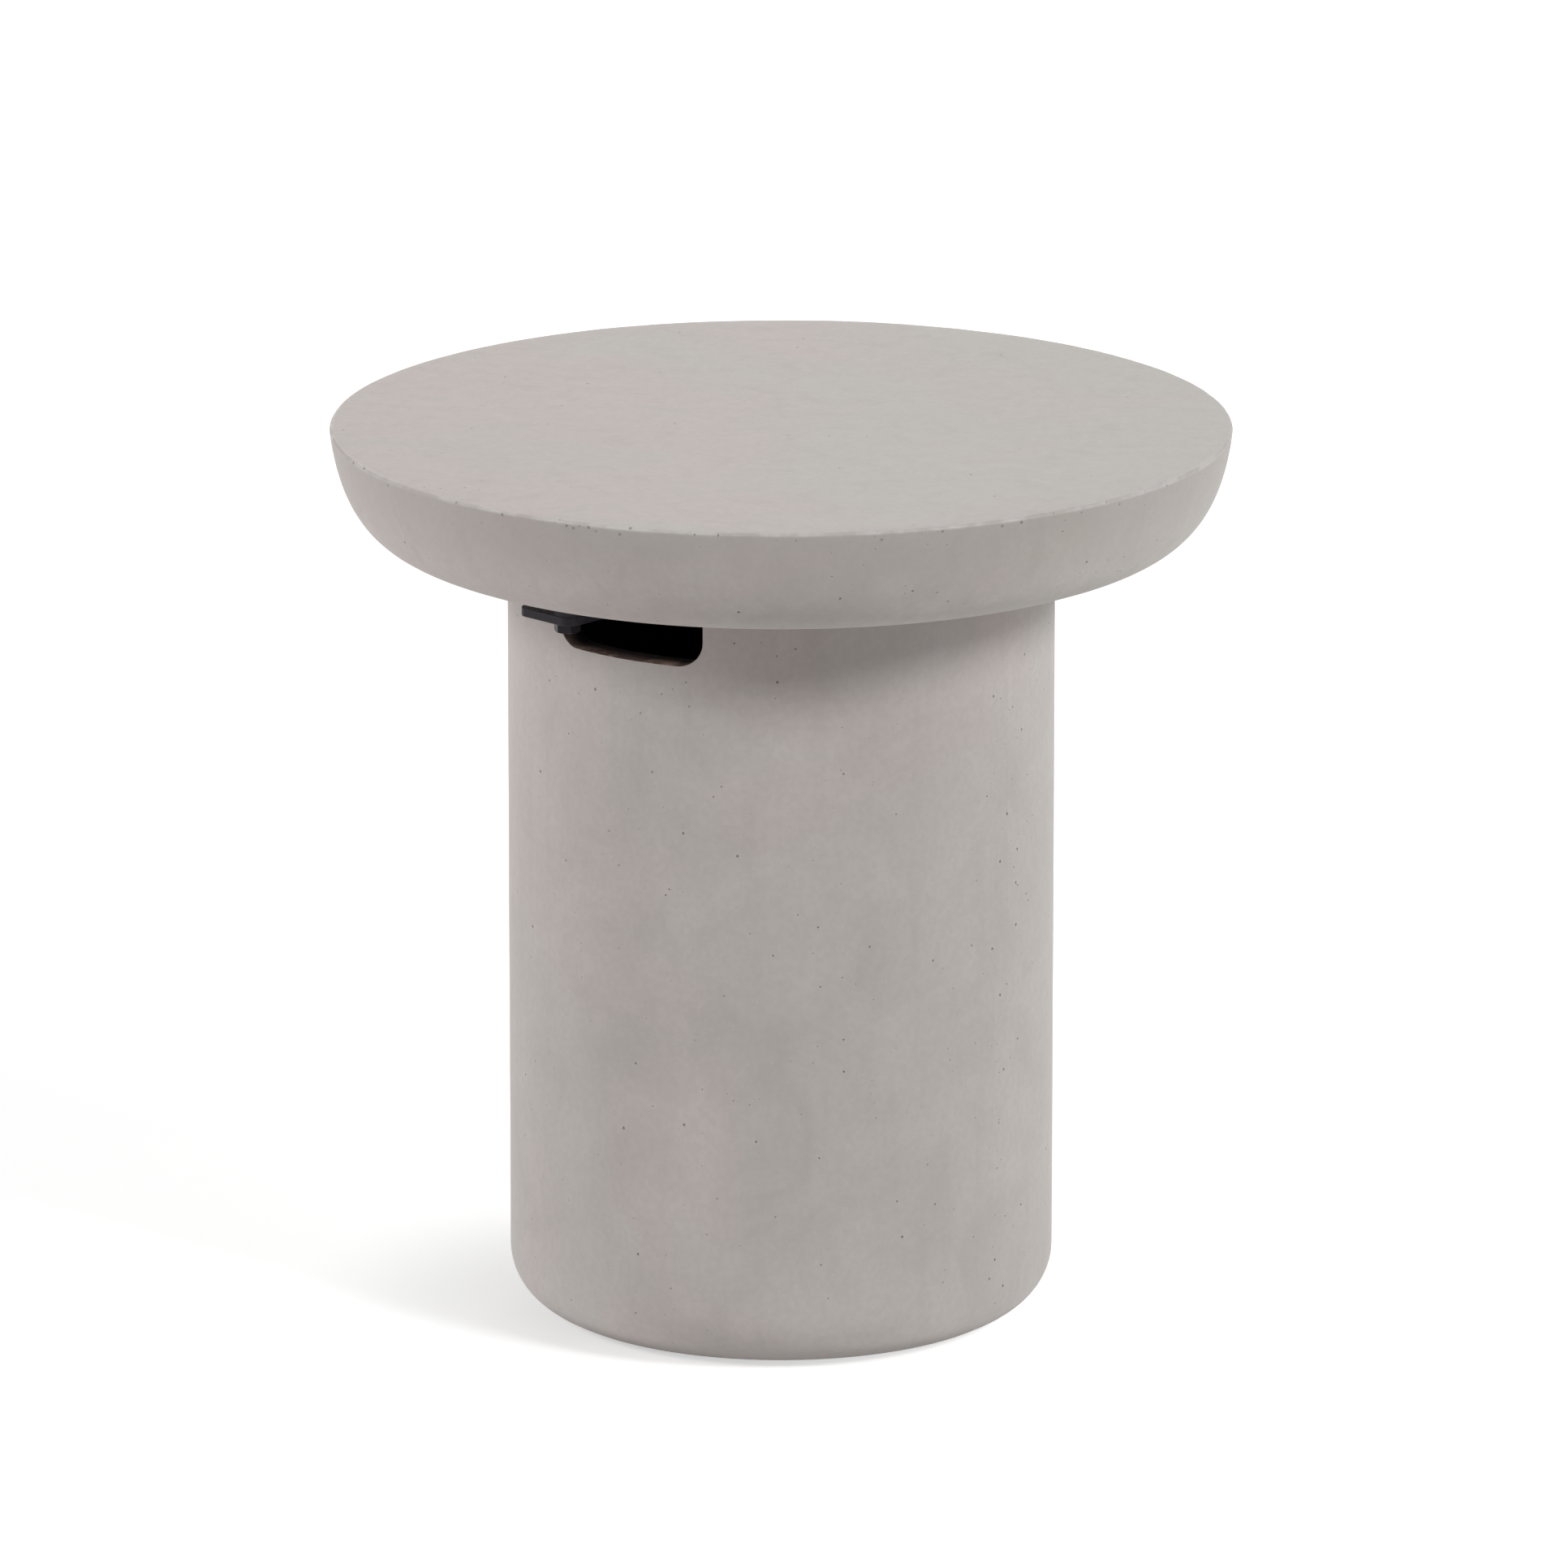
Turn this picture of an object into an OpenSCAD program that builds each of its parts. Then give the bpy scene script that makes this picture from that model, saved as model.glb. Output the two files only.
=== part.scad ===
// Round concrete side table: a thick dish-shaped top clamped to a hollow cast pedestal.
// The origin is on the floor at the table's centre, +Z is up, and the grip slots face -Y and +Y.

/* [Tabletop] */
// Overall height of the table from the floor
table_h = 505; // [420:5:600]
// Diameter of the tabletop at its rim
top_d = 500; // [460:5:560]
// Thickness of the tabletop from its face to its underside
top_t = 65; // [52:1:80]
// Diameter of the flat of the underside, where the bowl curve ends
underside_d = 392; // [372:2:440]
// Radius that eases the upper rim edge
rim_edge_r = 2; // [1:0.5:4]
// Angle by which the side leans inwards just below the rim
side_lean = 7.5; // [4:0.5:16]
// How far the side's lean carries down into the bowl curve
side_pull = 29; // [18:1:34]
// How far the flat underside carries out into the bowl curve
underside_pull = 40; // [20:1:46]

/* [Pedestal] */
// Outside diameter of the pedestal
base_d = 304; // [280:2:330]
// Thickness of the pedestal's wall
wall_t = 17; // [14:1:22]
// Thickness of the pedestal's floor
floor_t = 22; // [18:1:30]
// Radius of the outer foot edge
foot_r = 32; // [20:1:34]
// Radius of the inner corner between wall and floor
inner_r = 16; // [8:1:22]
// Radius that eases both edges of the mouth
mouth_edge_r = 1.5; // [0.5:0.5:3]
// Diameter of the drain hole in the floor
drain_d = 22; // [14:1:40]

/* [Grip slots] */
// Width of each grip slot
slot_w = 95; // [88:1:116]
// Height of each grip slot, whose lower corners are as round as it allows
slot_h = 28; // [24:0.5:34]
// Radius of the slot's corners under the lintel
slot_top_r = 2; // [0.5:0.5:6]
// Height of the concrete left above each slot
lintel_h = 7.5; // [6:0.5:12]

/* [Locating spigot] */
// Height of the spigot that drops into the mouth
spigot_h = 5; // [3:0.5:5.5]
// Gap between the spigot and the wall of the mouth
spigot_gap = 2; // [1:0.5:4]
// Radius that eases the spigot's lower edge
spigot_edge_r = 1.5; // [0.5:0.5:2.5]

/* [Rim gasket] */
// Thickness of the gasket between the mouth and the underside
gasket_t = 1.5; // [1:0.5:3]
// Distance of the gasket from the wall's outer and inner faces
gasket_inset = 2.5; // [2:0.5:5]

/* [Clamp bar] */
// Width of the flat bar
bar_w = 40; // [28:1:44]
// Thickness of the flat bar
bar_t = 5; // [4:0.5:8]
// How far each end of the bar stands out past the pedestal
bar_reach = 34; // [32:1:44]
// Gap between the bar's edge and the end of the slot that it lies by
bar_gap = 2.5; // [2:0.5:8]
// Radius of the bar's corners
bar_corner_r = 6; // [0.5:0.5:8]

/* [Fasteners] */
// Shank diameter of the bolts
bolt_d = 8; // [6:1:10]
// Length of bolt that is screwed into the insert
thread_l = 18; // [12:1:20]
// Distance of the bolts from the ends of the bar
bolt_inset = 19; // [14:1:24]
// Width across the flats of the bolt head
head_af = 13; // [10:1:17]
// Height of the bolt head
head_h = 5.3; // [4:0.1:8]
// Radial clearance of the bolt in washers, bar and sleeve
bolt_gap = 0.4; // [0.3:0.1:1]
// Diameter of the spring washers
spring_washer_d = 14.8; // [13:0.2:18]
// Thickness of the spring washers
spring_washer_t = 2; // [1.5:0.1:3]
// Width of the split in a spring washer
split_w = 1.6; // [1:0.2:3]
// Diameter of the flat washers
washer_d = 16; // [16:0.5:24]
// Thickness of the flat washers
washer_t = 1.6; // [1.2:0.1:3]
// Outside diameter of the spacer sleeves
sleeve_d = 16; // [14:0.5:20]

/* [Threaded inserts] */
// Outside diameter of the insert's barrel
insert_d = 14; // [12:0.5:18]
// Length of the insert
insert_l = 30; // [26:1:38]
// Width across the flats of the insert's anchor collar
collar_af = 20; // [17:0.5:24]
// Thickness of the anchor collar
collar_t = 4; // [3:0.5:7]
// Radial clearance of the bolt in the insert
thread_gap = 0.1; // [0.05:0.05:0.3]
// Space between the insert and the concrete cast around it
cast_gap = 0.1; // [0.05:0.05:0.3]

/* [Foot glides] */
// How many glides the foot stands on
glide_count = 4; // [3:1:8]
// Diameter of each glide
glide_d = 40; // [30:1:50]
// Thickness of each glide
glide_t = 4; // [3:0.5:8]
// How far the glides stand out below the foot
glide_proud = 1.5; // [1:0.5:3]
// Radial clearance of a glide in its recess
glide_gap = 0.5; // [0.3:0.1:1]
// Distance from a glide's rim to the start of the foot rounding
glide_inset = 4; // [2:1:10]

/* [Hidden] */

$fn = 96;
eps = 0.01;           // overlap of joined shapes, and how far a cut runs past a face
bowl_steps = 22;      // straight pieces in the bowl curve
arc_steps = 8;        // straight pieces in a quarter round
hex = 6;              // sides of a hexagon

top_r = top_d / 2;
base_r = base_d / 2;
bore_r = base_r - wall_t;
underside_z = table_h - top_t;
foot_z = glide_proud;
mouth_z = underside_z - gasket_t;
slot_top_z = mouth_z - lintel_h;
slot_z = slot_top_z - slot_h / 2;
slot_end_r = slot_h / 2;
slot_top_edge_r = min(slot_top_r, bar_gap);

bar_top_z = slot_top_z;
bar_z = bar_top_z - bar_t;
bar_half_l = base_r + bar_reach;
bar_turn = asin(bar_w / 2 / base_r) - asin((slot_w / 2 - bar_gap) / base_r);
bolt_radius = bar_half_l - bolt_inset;
head_top_z = bar_z - washer_t - spring_washer_t;
sleeve_h = underside_z - bar_top_z;
bolt_l = spring_washer_t + washer_t + bar_t + sleeve_h + thread_l;
head_bevel = 30;      // angle of the bevel round a bolt head's free face
head_face_inset = 0.1;    // distance of that face's edge from the flats

glide_ring_r = base_r - foot_r - glide_inset - glide_d / 2;

// Points of an arc from angle a to angle b about centre c
function arc(c, r, a, b) =
    [for (i = [0:arc_steps]) let (t = a + (b - a) * i / arc_steps) c + r * [cos(t), sin(t)]];

// Point of a cubic curve with end points p, s and handles q, u
function cubic(p, q, u, s, t) =
    pow(1 - t, 3) * p + 3 * pow(1 - t, 2) * t * q + 3 * (1 - t) * t * t * u + pow(t, 3) * s;

// Bowl curve from the underside's edge up to the rim: its first handle lies along the
// underside and its last one along the leaning side
bowl_start = [underside_d / 2, underside_z];
bowl_end = [top_r, table_h - rim_edge_r];
bowl_handle_low = bowl_start + [underside_pull, 0];
bowl_handle_high = bowl_end - side_pull * [sin(side_lean), cos(side_lean)];
bowl_curve = [for (i = [0:bowl_steps])
    cubic(bowl_start, bowl_handle_low, bowl_handle_high, bowl_end, i / bowl_steps)];

spigot_r = bore_r - spigot_gap;
spigot_z = underside_z - gasket_t - spigot_h;

// Places its children at both ends of the bar, on the bolts' axes
module at_bolts() {
    for (turn = [0, 180])
        rotate([0, 0, bar_turn + turn])
            translate([0, -bolt_radius, 0])
                children();
}

// Places its children at the centres of the glides
module at_glides() {
    for (i = [0:glide_count - 1])
        rotate([0, 0, (i + 0.5) * 360 / glide_count])
            translate([glide_ring_r, 0, 0])
                children();
}

// Flat ring or tube standing on z
module tube(r, hole_r, z, h) {
    translate([0, 0, z])
        difference() {
            cylinder(r = r, h = h);
            translate([0, 0, -eps])
                cylinder(r = hole_r, h = h + 2 * eps);
        }
}

// Hexagonal prism standing on z, sized across its flats
module hex_prism(across_flats, z, h) {
    translate([0, 0, z])
        cylinder(r = across_flats / 2 / cos(180 / hex), h = h, $fn = hex);
}

// Flat shape of a grip slot: full rounds below, and tight corners under the lintel, where the
// bar lies against the flat top
module slot_outline() {
    square([slot_w - 2 * slot_end_r, slot_h], center = true);
    for (side = [-1, 1]) {
        translate([side * (slot_w / 2 - slot_end_r), 0])
            circle(r = slot_end_r);
        translate([side * (slot_w / 2 - slot_top_edge_r), slot_h / 2 - slot_top_edge_r])
            circle(r = slot_top_edge_r);
    }
    translate([0, (slot_end_r - slot_top_edge_r) / 2])
        square([slot_w, slot_end_r - slot_top_edge_r], center = true);
    translate([0, (slot_h - slot_top_edge_r) / 2])
        square([slot_w - 2 * slot_top_edge_r, slot_top_edge_r], center = true);
}

// Straight cut that leaves a slot in the wall on both sides of the pedestal
module slot_cut() {
    translate([0, base_r + eps, slot_z])
        rotate([90, 0, 0])
            linear_extrude(height = 2 * (base_r + eps))
                slot_outline();
}

// Revolved outline of the tabletop: spigot, flat underside, bowl curve, eased rim and face
module tabletop_outline() {
    polygon(concat(
        [[0, spigot_z]],
        arc([spigot_r - spigot_edge_r, spigot_z + spigot_edge_r], spigot_edge_r, -90, 0),
        [[spigot_r, underside_z]],
        bowl_curve,
        arc([top_r - rim_edge_r, table_h - rim_edge_r], rim_edge_r, 0, 90),
        [[0, table_h]]));
}

module tabletop() {
    color([0.70, 0.67, 0.65])
        difference() {
            rotate_extrude()
                tabletop_outline();
            at_bolts() {
                translate([0, 0, underside_z - eps])
                    cylinder(r = insert_d / 2 + cast_gap, h = insert_l + eps);
                hex_prism(collar_af + 2 * cast_gap, underside_z + insert_l - collar_t - cast_gap,
                          collar_t + 2 * cast_gap);
            }
        }
}

// Revolved outline of the pedestal's wall and floor, with its rounded foot and eased mouth
module pedestal_outline() {
    polygon(concat(
        [[0, foot_z]],
        arc([base_r - foot_r, foot_z + foot_r], foot_r, -90, 0),
        arc([base_r - mouth_edge_r, mouth_z - mouth_edge_r], mouth_edge_r, 0, 90),
        arc([bore_r + mouth_edge_r, mouth_z - mouth_edge_r], mouth_edge_r, 90, 180),
        arc([bore_r - inner_r, foot_z + floor_t + inner_r], inner_r, 0, -90),
        [[0, foot_z + floor_t]]));
}

module pedestal() {
    color([0.68, 0.65, 0.63])
        difference() {
            rotate_extrude()
                pedestal_outline();
            slot_cut();
            translate([0, 0, foot_z - eps])
                cylinder(r = drain_d / 2, h = floor_t + 2 * eps);
            at_glides()
                translate([0, 0, foot_z - eps])
                    cylinder(r = glide_d / 2 + glide_gap, h = glide_t - foot_z + eps);
        }
}

// Flat outline of the bar, with rounded corners
module bar_outline() {
    square([bar_w, 2 * (bar_half_l - bar_corner_r)], center = true);
    square([bar_w - 2 * bar_corner_r, 2 * bar_half_l], center = true);
    for (x = [-1, 1], y = [-1, 1])
        translate([x * (bar_w / 2 - bar_corner_r), y * (bar_half_l - bar_corner_r)])
            circle(r = bar_corner_r);
}

module clamp_bar() {
    color([0.13, 0.13, 0.14])
        difference() {
            rotate([0, 0, bar_turn])
                translate([0, 0, bar_z])
                    linear_extrude(height = bar_t)
                        bar_outline();
            at_bolts()
                translate([0, 0, bar_z - eps])
                    cylinder(r = bolt_d / 2 + bolt_gap, h = bar_t + 2 * eps);
        }
}

// Hexagonal head hanging below z, its corners bevelled round the free face
module bolt_head(z) {
    corner_r = head_af / 2 / cos(180 / hex);
    face_r = head_af / 2 - head_face_inset;
    bevel_h = (corner_r - face_r) * tan(head_bevel);
    intersection() {
        hex_prism(head_af, z - head_h, head_h);
        translate([0, 0, z - head_h])
            rotate_extrude()
                polygon([[0, 0], [face_r, 0], [corner_r + eps, bevel_h + eps],
                         [corner_r + eps, head_h], [0, head_h]]);
    }
}

module clamp_bolts() {
    color([0.62, 0.63, 0.65])
        at_bolts() {
            bolt_head(head_top_z);
            translate([0, 0, head_top_z - eps])
                cylinder(r = bolt_d / 2, h = bolt_l + eps);
        }
}

module spring_washers() {
    color([0.50, 0.51, 0.53])
        at_bolts()
            difference() {
                tube(spring_washer_d / 2, bolt_d / 2 + bolt_gap, head_top_z, spring_washer_t);
                translate([0, -split_w / 2, head_top_z - eps])
                    cube([spring_washer_d, split_w, spring_washer_t + 2 * eps]);
            }
}

module bolt_washers() {
    color([0.66, 0.67, 0.69])
        at_bolts()
            tube(washer_d / 2, bolt_d / 2 + bolt_gap, bar_z - washer_t, washer_t);
}

module spacer_sleeves() {
    color([0.60, 0.61, 0.63])
        at_bolts()
            tube(sleeve_d / 2, bolt_d / 2 + bolt_gap, bar_top_z, sleeve_h);
}

module threaded_inserts() {
    color([0.72, 0.60, 0.35])
        at_bolts()
            difference() {
                union() {
                    translate([0, 0, underside_z])
                        cylinder(r = insert_d / 2, h = insert_l);
                    hex_prism(collar_af, underside_z + insert_l - collar_t, collar_t);
                }
                translate([0, 0, underside_z - eps])
                    cylinder(r = bolt_d / 2 + thread_gap, h = insert_l - collar_t + eps);
            }
}

module rim_gasket() {
    color([0.16, 0.16, 0.16])
        tube(base_r - gasket_inset, bore_r + gasket_inset, mouth_z, gasket_t);
}

module foot_glides() {
    color([0.20, 0.20, 0.20])
        at_glides()
            cylinder(r = glide_d / 2, h = glide_t);
}

tabletop();
pedestal();
clamp_bar();
clamp_bolts();
spring_washers();
bolt_washers();
spacer_sleeves();
threaded_inserts();
rim_gasket();
foot_glides();
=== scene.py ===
"""Looks of a round concrete side table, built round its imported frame.

Every sub-assembly is a class: its sizes are dataclass fields, in metres, and its methods model
its pieces and dress them. What the frame already knows, such as the height of the mouth or the
place of the bar, is read from the frame, so that each piece lies where its CAD node lies. The
studio at the end gives the table a pale floor, soft lamps and the photograph's viewing angle.
"""

import logging
import math
import random
from collections.abc import Callable, Iterable
from dataclasses import dataclass, field
from enum import Enum

import bpy
from mathutils import Matrix, Vector


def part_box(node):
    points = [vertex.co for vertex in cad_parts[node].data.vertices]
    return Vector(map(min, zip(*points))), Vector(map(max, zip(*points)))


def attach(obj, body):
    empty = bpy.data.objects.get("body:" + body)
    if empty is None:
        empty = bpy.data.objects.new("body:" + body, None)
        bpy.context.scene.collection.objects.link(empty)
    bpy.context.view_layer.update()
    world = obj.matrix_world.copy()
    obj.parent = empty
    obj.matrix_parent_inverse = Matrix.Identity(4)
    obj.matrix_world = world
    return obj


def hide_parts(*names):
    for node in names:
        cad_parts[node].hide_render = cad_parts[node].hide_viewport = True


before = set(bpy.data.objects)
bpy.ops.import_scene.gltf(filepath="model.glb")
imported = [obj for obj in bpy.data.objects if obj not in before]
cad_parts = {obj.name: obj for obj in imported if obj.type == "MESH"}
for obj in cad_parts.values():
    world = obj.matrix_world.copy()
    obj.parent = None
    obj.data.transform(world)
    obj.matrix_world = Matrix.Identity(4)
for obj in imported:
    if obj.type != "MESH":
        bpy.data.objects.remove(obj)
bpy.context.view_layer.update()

log = logging.getLogger("side_table")

Point = tuple[float, float]
Triple = tuple[float, float, float]
Colour = tuple[float, float, float, float]
Names = tuple[str, ...]
Sockets = dict[str, bpy.types.NodeSocket]
Feed = object

MM = 0.001
BODY = "root"
WELD = 0.002 * MM
CASTING_SIDES = 256
HARDWARE_SIDES = 64
SMOOTH_UP_TO = math.radians(32)
GRIT_SPREAD = 0.16
WHITE = (1, 1, 1, 1)


class Picks(Enum):
    """Which kind of element a selection in edit mode is made of."""

    POINTS = (True, False, False)
    EDGES = (False, True, False)


class Place(Enum):
    """The two ends of the clamp bar, and the two grip slots that they come out of."""

    FRONT = 0.0
    BACK = math.pi


# Moves at the bench


def put_down() -> None:
    """Leaves object mode with nothing selected, ready for a new primitive."""
    if bpy.context.object is not None and bpy.context.object.mode != "OBJECT":
        bpy.ops.object.mode_set(mode="OBJECT")
    bpy.ops.object.select_all(action="DESELECT")


def pick_up(piece: bpy.types.Object) -> None:
    """Selects one piece alone and makes it the active one.

    Args:
        piece: The piece.
    """
    put_down()
    piece.select_set(True)
    bpy.context.view_layer.objects.active = piece


def settle(piece: bpy.types.Object, name: str = "") -> bpy.types.Object:
    """Puts a piece's place, turn and size into its mesh, so that its object sits at the origin.

    Args:
        piece: The piece.
        name: A new name for the piece and its mesh, if any.

    Returns:
        The same piece.
    """
    pick_up(piece)
    bpy.ops.object.transform_apply(location=True, rotation=True, scale=True)
    if name:
        piece.name = piece.data.name = name
    return piece


def choose(piece: bpy.types.Object, picks: Picks, test: Callable[[Vector], bool]) -> None:
    """Enters edit mode with only the elements selected whose every point passes a test.

    Args:
        piece: The piece, its place already in its mesh.
        picks: Points or edges.
        test: Tells whether a point at that place passes.
    """
    pick_up(piece)
    mesh = piece.data
    for elements in (mesh.vertices, mesh.edges, mesh.polygons):
        elements.foreach_set("select", [False] * len(elements))
    points = mesh.vertices
    if picks is Picks.POINTS:
        chosen = [v for v in points if test(v.co)]
    else:
        chosen = [e for e in mesh.edges if all(test(points[i].co) for i in e.vertices)]
    for element in chosen:
        element.select = True
    bpy.context.tool_settings.mesh_select_mode = picks.value
    bpy.ops.object.mode_set(mode="EDIT")


def finish_with(piece: bpy.types.Object, kind: str, **settings: object) -> None:
    """Adds one modifier to a piece and applies it.

    Args:
        piece: The piece.
        kind: The modifier's type.
        **settings: The modifier's settings by name.
    """
    pick_up(piece)
    modifier = piece.modifiers.new(kind.lower(), kind)
    for key, value in settings.items():
        setattr(modifier, key, value)
    bpy.ops.object.modifier_apply(modifier=modifier.name)


def scrap(piece: bpy.types.Object) -> None:
    """Removes a tool piece and its mesh.

    Args:
        piece: The tool piece.
    """
    mesh = piece.data
    bpy.data.objects.remove(piece)
    bpy.data.meshes.remove(mesh)


def carve(piece: bpy.types.Object, cutter: bpy.types.Object, keep: str = "DIFFERENCE") -> None:
    """Cuts a piece with a closed cutter, which is then scrapped.

    Args:
        piece: The piece that is cut.
        cutter: The closed cutter.
        keep: DIFFERENCE takes the cutter away, INTERSECT keeps what lies inside it, and
            UNION adds it to the piece.
    """
    finish_with(piece, "BOOLEAN", operation=keep, object=cutter, solver="EXACT")
    scrap(cutter)


def copy_of(piece: bpy.types.Object, name: str) -> bpy.types.Object:
    """Copies a piece with a mesh of its own.

    Args:
        piece: The piece that is copied.
        name: The copy's name.

    Returns:
        The copy.
    """
    twin = piece.copy()
    twin.data = piece.data.copy()
    twin.name = twin.data.name = name
    bpy.context.scene.collection.objects.link(twin)
    return twin


def join(pieces: list[bpy.types.Object], name: str) -> bpy.types.Object:
    """Joins pieces into one object.

    Args:
        pieces: The pieces, at least one.
        name: The joined piece's name.

    Returns:
        The joined piece.
    """
    put_down()
    for piece in pieces:
        piece.select_set(True)
    bpy.context.view_layer.objects.active = pieces[0]
    bpy.ops.object.join()
    return settle(bpy.context.object, name)


def smooth(piece: bpy.types.Object) -> None:
    """Shades a piece smooth where its faces meet flatly, led by its larger faces.

    Args:
        piece: The piece.
    """
    pick_up(piece)
    bpy.ops.object.shade_smooth_by_angle(angle=SMOOTH_UP_TO)
    finish_with(piece, "WEIGHTED_NORMAL", mode="FACE_AREA", keep_sharp=True, weight=60)


def press(
    piece: bpy.types.Object, test: Callable[[Vector], bool], cell: float, depth: float
) -> None:
    """Sinks part of a cast face by a cloudy pattern, as no hand-filled mould is quite true.

    Args:
        piece: The piece.
        test: Tells which points may sink.
        cell: Size of the hollows across the face.
        depth: The deepest that a point sinks.
    """
    group = piece.vertex_groups.new(name="sunk")
    group.add([v.index for v in piece.data.vertices if test(v.co)], 1.0, "REPLACE")
    hollows = bpy.data.textures.new("hollows", "CLOUDS")
    hollows.noise_scale = cell
    hollows.noise_depth = 2
    finish_with(
        piece, "DISPLACE", texture=hollows, texture_coords="LOCAL", vertex_group=group.name,
        mid_level=1.0, strength=depth,
    )
    piece.vertex_groups.remove(piece.vertex_groups[0])


# Turned work


def cubic(t: float, low: Vector, pull: Vector, draw: Vector, high: Vector) -> Vector:
    """Gives a point of a cubic curve.

    Args:
        t: How far along the curve, from 0 to 1.
        low: The curve's first point.
        pull: Handle of the first point.
        draw: Handle of the last point.
        high: The curve's last point.

    Returns:
        The point.
    """
    s = 1 - t
    return s**3 * low + 3 * s * s * t * pull + 3 * s * t * t * draw + t**3 * high


def hexagon_corner(flats: float) -> float:
    """Gives how far a hexagon's corners lie from its middle, from its width over the flats."""
    return flats / 2 / math.cos(math.pi / 6)


def round_at(radius: float, turn: float, height: float = 0.0) -> Vector:
    """Gives the point at a radius and turn about the upright axis, at a height."""
    return Vector((radius * math.cos(turn), radius * math.sin(turn), height))


@dataclass
class Outline:
    """Half outline of a turned piece, drawn as points of radius and height."""

    points: list[Point] = field(default_factory=list)

    def to(self, radius: float, height: float) -> "Outline":
        """Adds one point and returns the outline."""
        self.points.append((radius, height))
        return self

    def run(self, radius: float, height: float, step: float) -> "Outline":
        """Adds a straight stretch, split into equal steps.

        Args:
            radius: Radius of its last point.
            height: Height of its last point.
            step: The longest that one step may be.

        Returns:
            The outline.
        """
        start = Vector(self.points[-1])
        end = Vector((radius, height))
        count = max(1, math.ceil((end - start).length / step))
        for i in range(1, count + 1):
            self.to(*start.lerp(end, i / count))
        return self

    def arc(self, centre: Point, radius: float, start: float, end: float, steps: int) -> "Outline":
        """Adds an arc.

        Args:
            centre: The arc's centre.
            radius: The arc's radius.
            start: Angle of its first point in degrees.
            end: Angle of its last point in degrees.
            steps: Straight pieces in the arc.

        Returns:
            The outline.
        """
        for i in range(steps + 1):
            turn = math.radians(start + (end - start) * i / steps)
            self.to(centre[0] + radius * math.cos(turn), centre[1] + radius * math.sin(turn))
        return self

    def curve(self, low: Vector, pull: Vector, draw: Vector, high: Vector, steps: int) -> "Outline":
        """Adds a cubic curve with two handles.

        Args:
            low: Its first point.
            pull: Handle of the first point.
            draw: Handle of the last point.
            high: Its last point.
            steps: Straight pieces in the curve.

        Returns:
            The outline.
        """
        for i in range(steps + 1):
            self.to(*cubic(i / steps, low, pull, draw, high))
        return self

    def closed(self) -> "Outline":
        """Ends the outline where it began and returns it."""
        return self.to(*self.points[0])


def turned(name: str, outline: Outline, sides: int = HARDWARE_SIDES) -> bpy.types.Object:
    """Turns a closed form about the upright axis from its half outline.

    Args:
        name: The piece's name.
        outline: The half outline, from the axis back to the axis or closed.
        sides: Faces round the piece.

    Returns:
        The turned piece, its normals pointing out.
    """
    put_down()
    radius, height = outline.points[0]
    bpy.ops.mesh.primitive_plane_add(size=MM, location=(radius, 0, height))
    piece = bpy.context.object
    bpy.ops.object.mode_set(mode="EDIT")
    bpy.ops.mesh.select_mode(type="VERT")
    bpy.ops.mesh.select_all(action="SELECT")
    bpy.ops.mesh.merge(type="CENTER")
    for here, there in zip(outline.points, outline.points[1:]):
        step = (there[0] - here[0], 0, there[1] - here[1])
        bpy.ops.mesh.extrude_vertices_move(TRANSFORM_OT_translate={"value": step})
    bpy.ops.mesh.select_all(action="SELECT")
    bpy.ops.mesh.spin(steps=sides, angle=math.tau, center=(0, 0, 0), axis=(0, 0, 1))
    bpy.ops.mesh.select_all(action="SELECT")
    bpy.ops.mesh.remove_doubles(threshold=WELD)
    bpy.ops.mesh.normals_make_consistent(inside=False)
    return settle(piece, name)


def ring(
    name: str, outer: float, inner: float, low: float, high: float, ease: float
) -> bpy.types.Object:
    """Turns a flat ring or tube with eased edges.

    Args:
        name: The piece's name.
        outer: Outer radius.
        inner: Radius of the hole.
        low: Height of its lower face.
        high: Height of its upper face.
        ease: Width of the bevel on its four edges.

    Returns:
        The ring.
    """
    outline = Outline()
    outline.to(inner + ease, low).to(outer - ease, low).to(outer, low + ease)
    outline.to(outer, high - ease).to(outer - ease, high)
    outline.to(inner + ease, high).to(inner, high - ease).to(inner, low + ease).closed()
    return turned(name, outline)


def rod(
    at: Vector, radius: float, low: float, high: float, sides: int = HARDWARE_SIDES, turn: float = 0
) -> bpy.types.Object:
    """Adds an upright cylinder or prism.

    Args:
        at: A point on its axis.
        radius: Its radius, over the corners.
        low: Height of its lower end.
        high: Height of its upper end.
        sides: Faces round it.
        turn: Its turn about its axis.

    Returns:
        The cylinder.
    """
    put_down()
    bpy.ops.mesh.primitive_cylinder_add(
        vertices=sides, radius=radius, depth=high - low,
        location=(at.x, at.y, (high + low) / 2), rotation=(0, 0, turn),
    )
    return bpy.context.object


def pitted(
    piece: bpy.types.Object, spots: Iterable[tuple[Vector, Vector]], turns: random.Random
) -> None:
    """Cuts small pits and chips into a piece, none of them touching its neighbour.

    Args:
        piece: The casting.
        spots: The middle of each pit and its half sizes.
        turns: Where the pits' turns are drawn from.
    """
    put_down()
    bpy.ops.mesh.primitive_ico_sphere_add(subdivisions=1, radius=1, location=(0, 0, 0))
    bpy.ops.object.mode_set(mode="EDIT")
    bpy.ops.transform.vertex_random(offset=GRIT_SPREAD, seed=4)
    bpy.ops.object.mode_set(mode="OBJECT")
    grit = bpy.context.object
    copies: list[bpy.types.Object] = []
    for middle, size in spots:
        if all((middle - c.location).length > 2 * (max(size) + max(c.scale)) for c in copies):
            twin = copy_of(grit, "grit")
            twin.location, twin.scale = middle, size
            twin.rotation_euler = [turns.uniform(0, math.tau) for _ in range(3)]
            copies.append(twin)
    scrap(grit)
    carve(piece, join(copies, "grit"))


# Shader work


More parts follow.
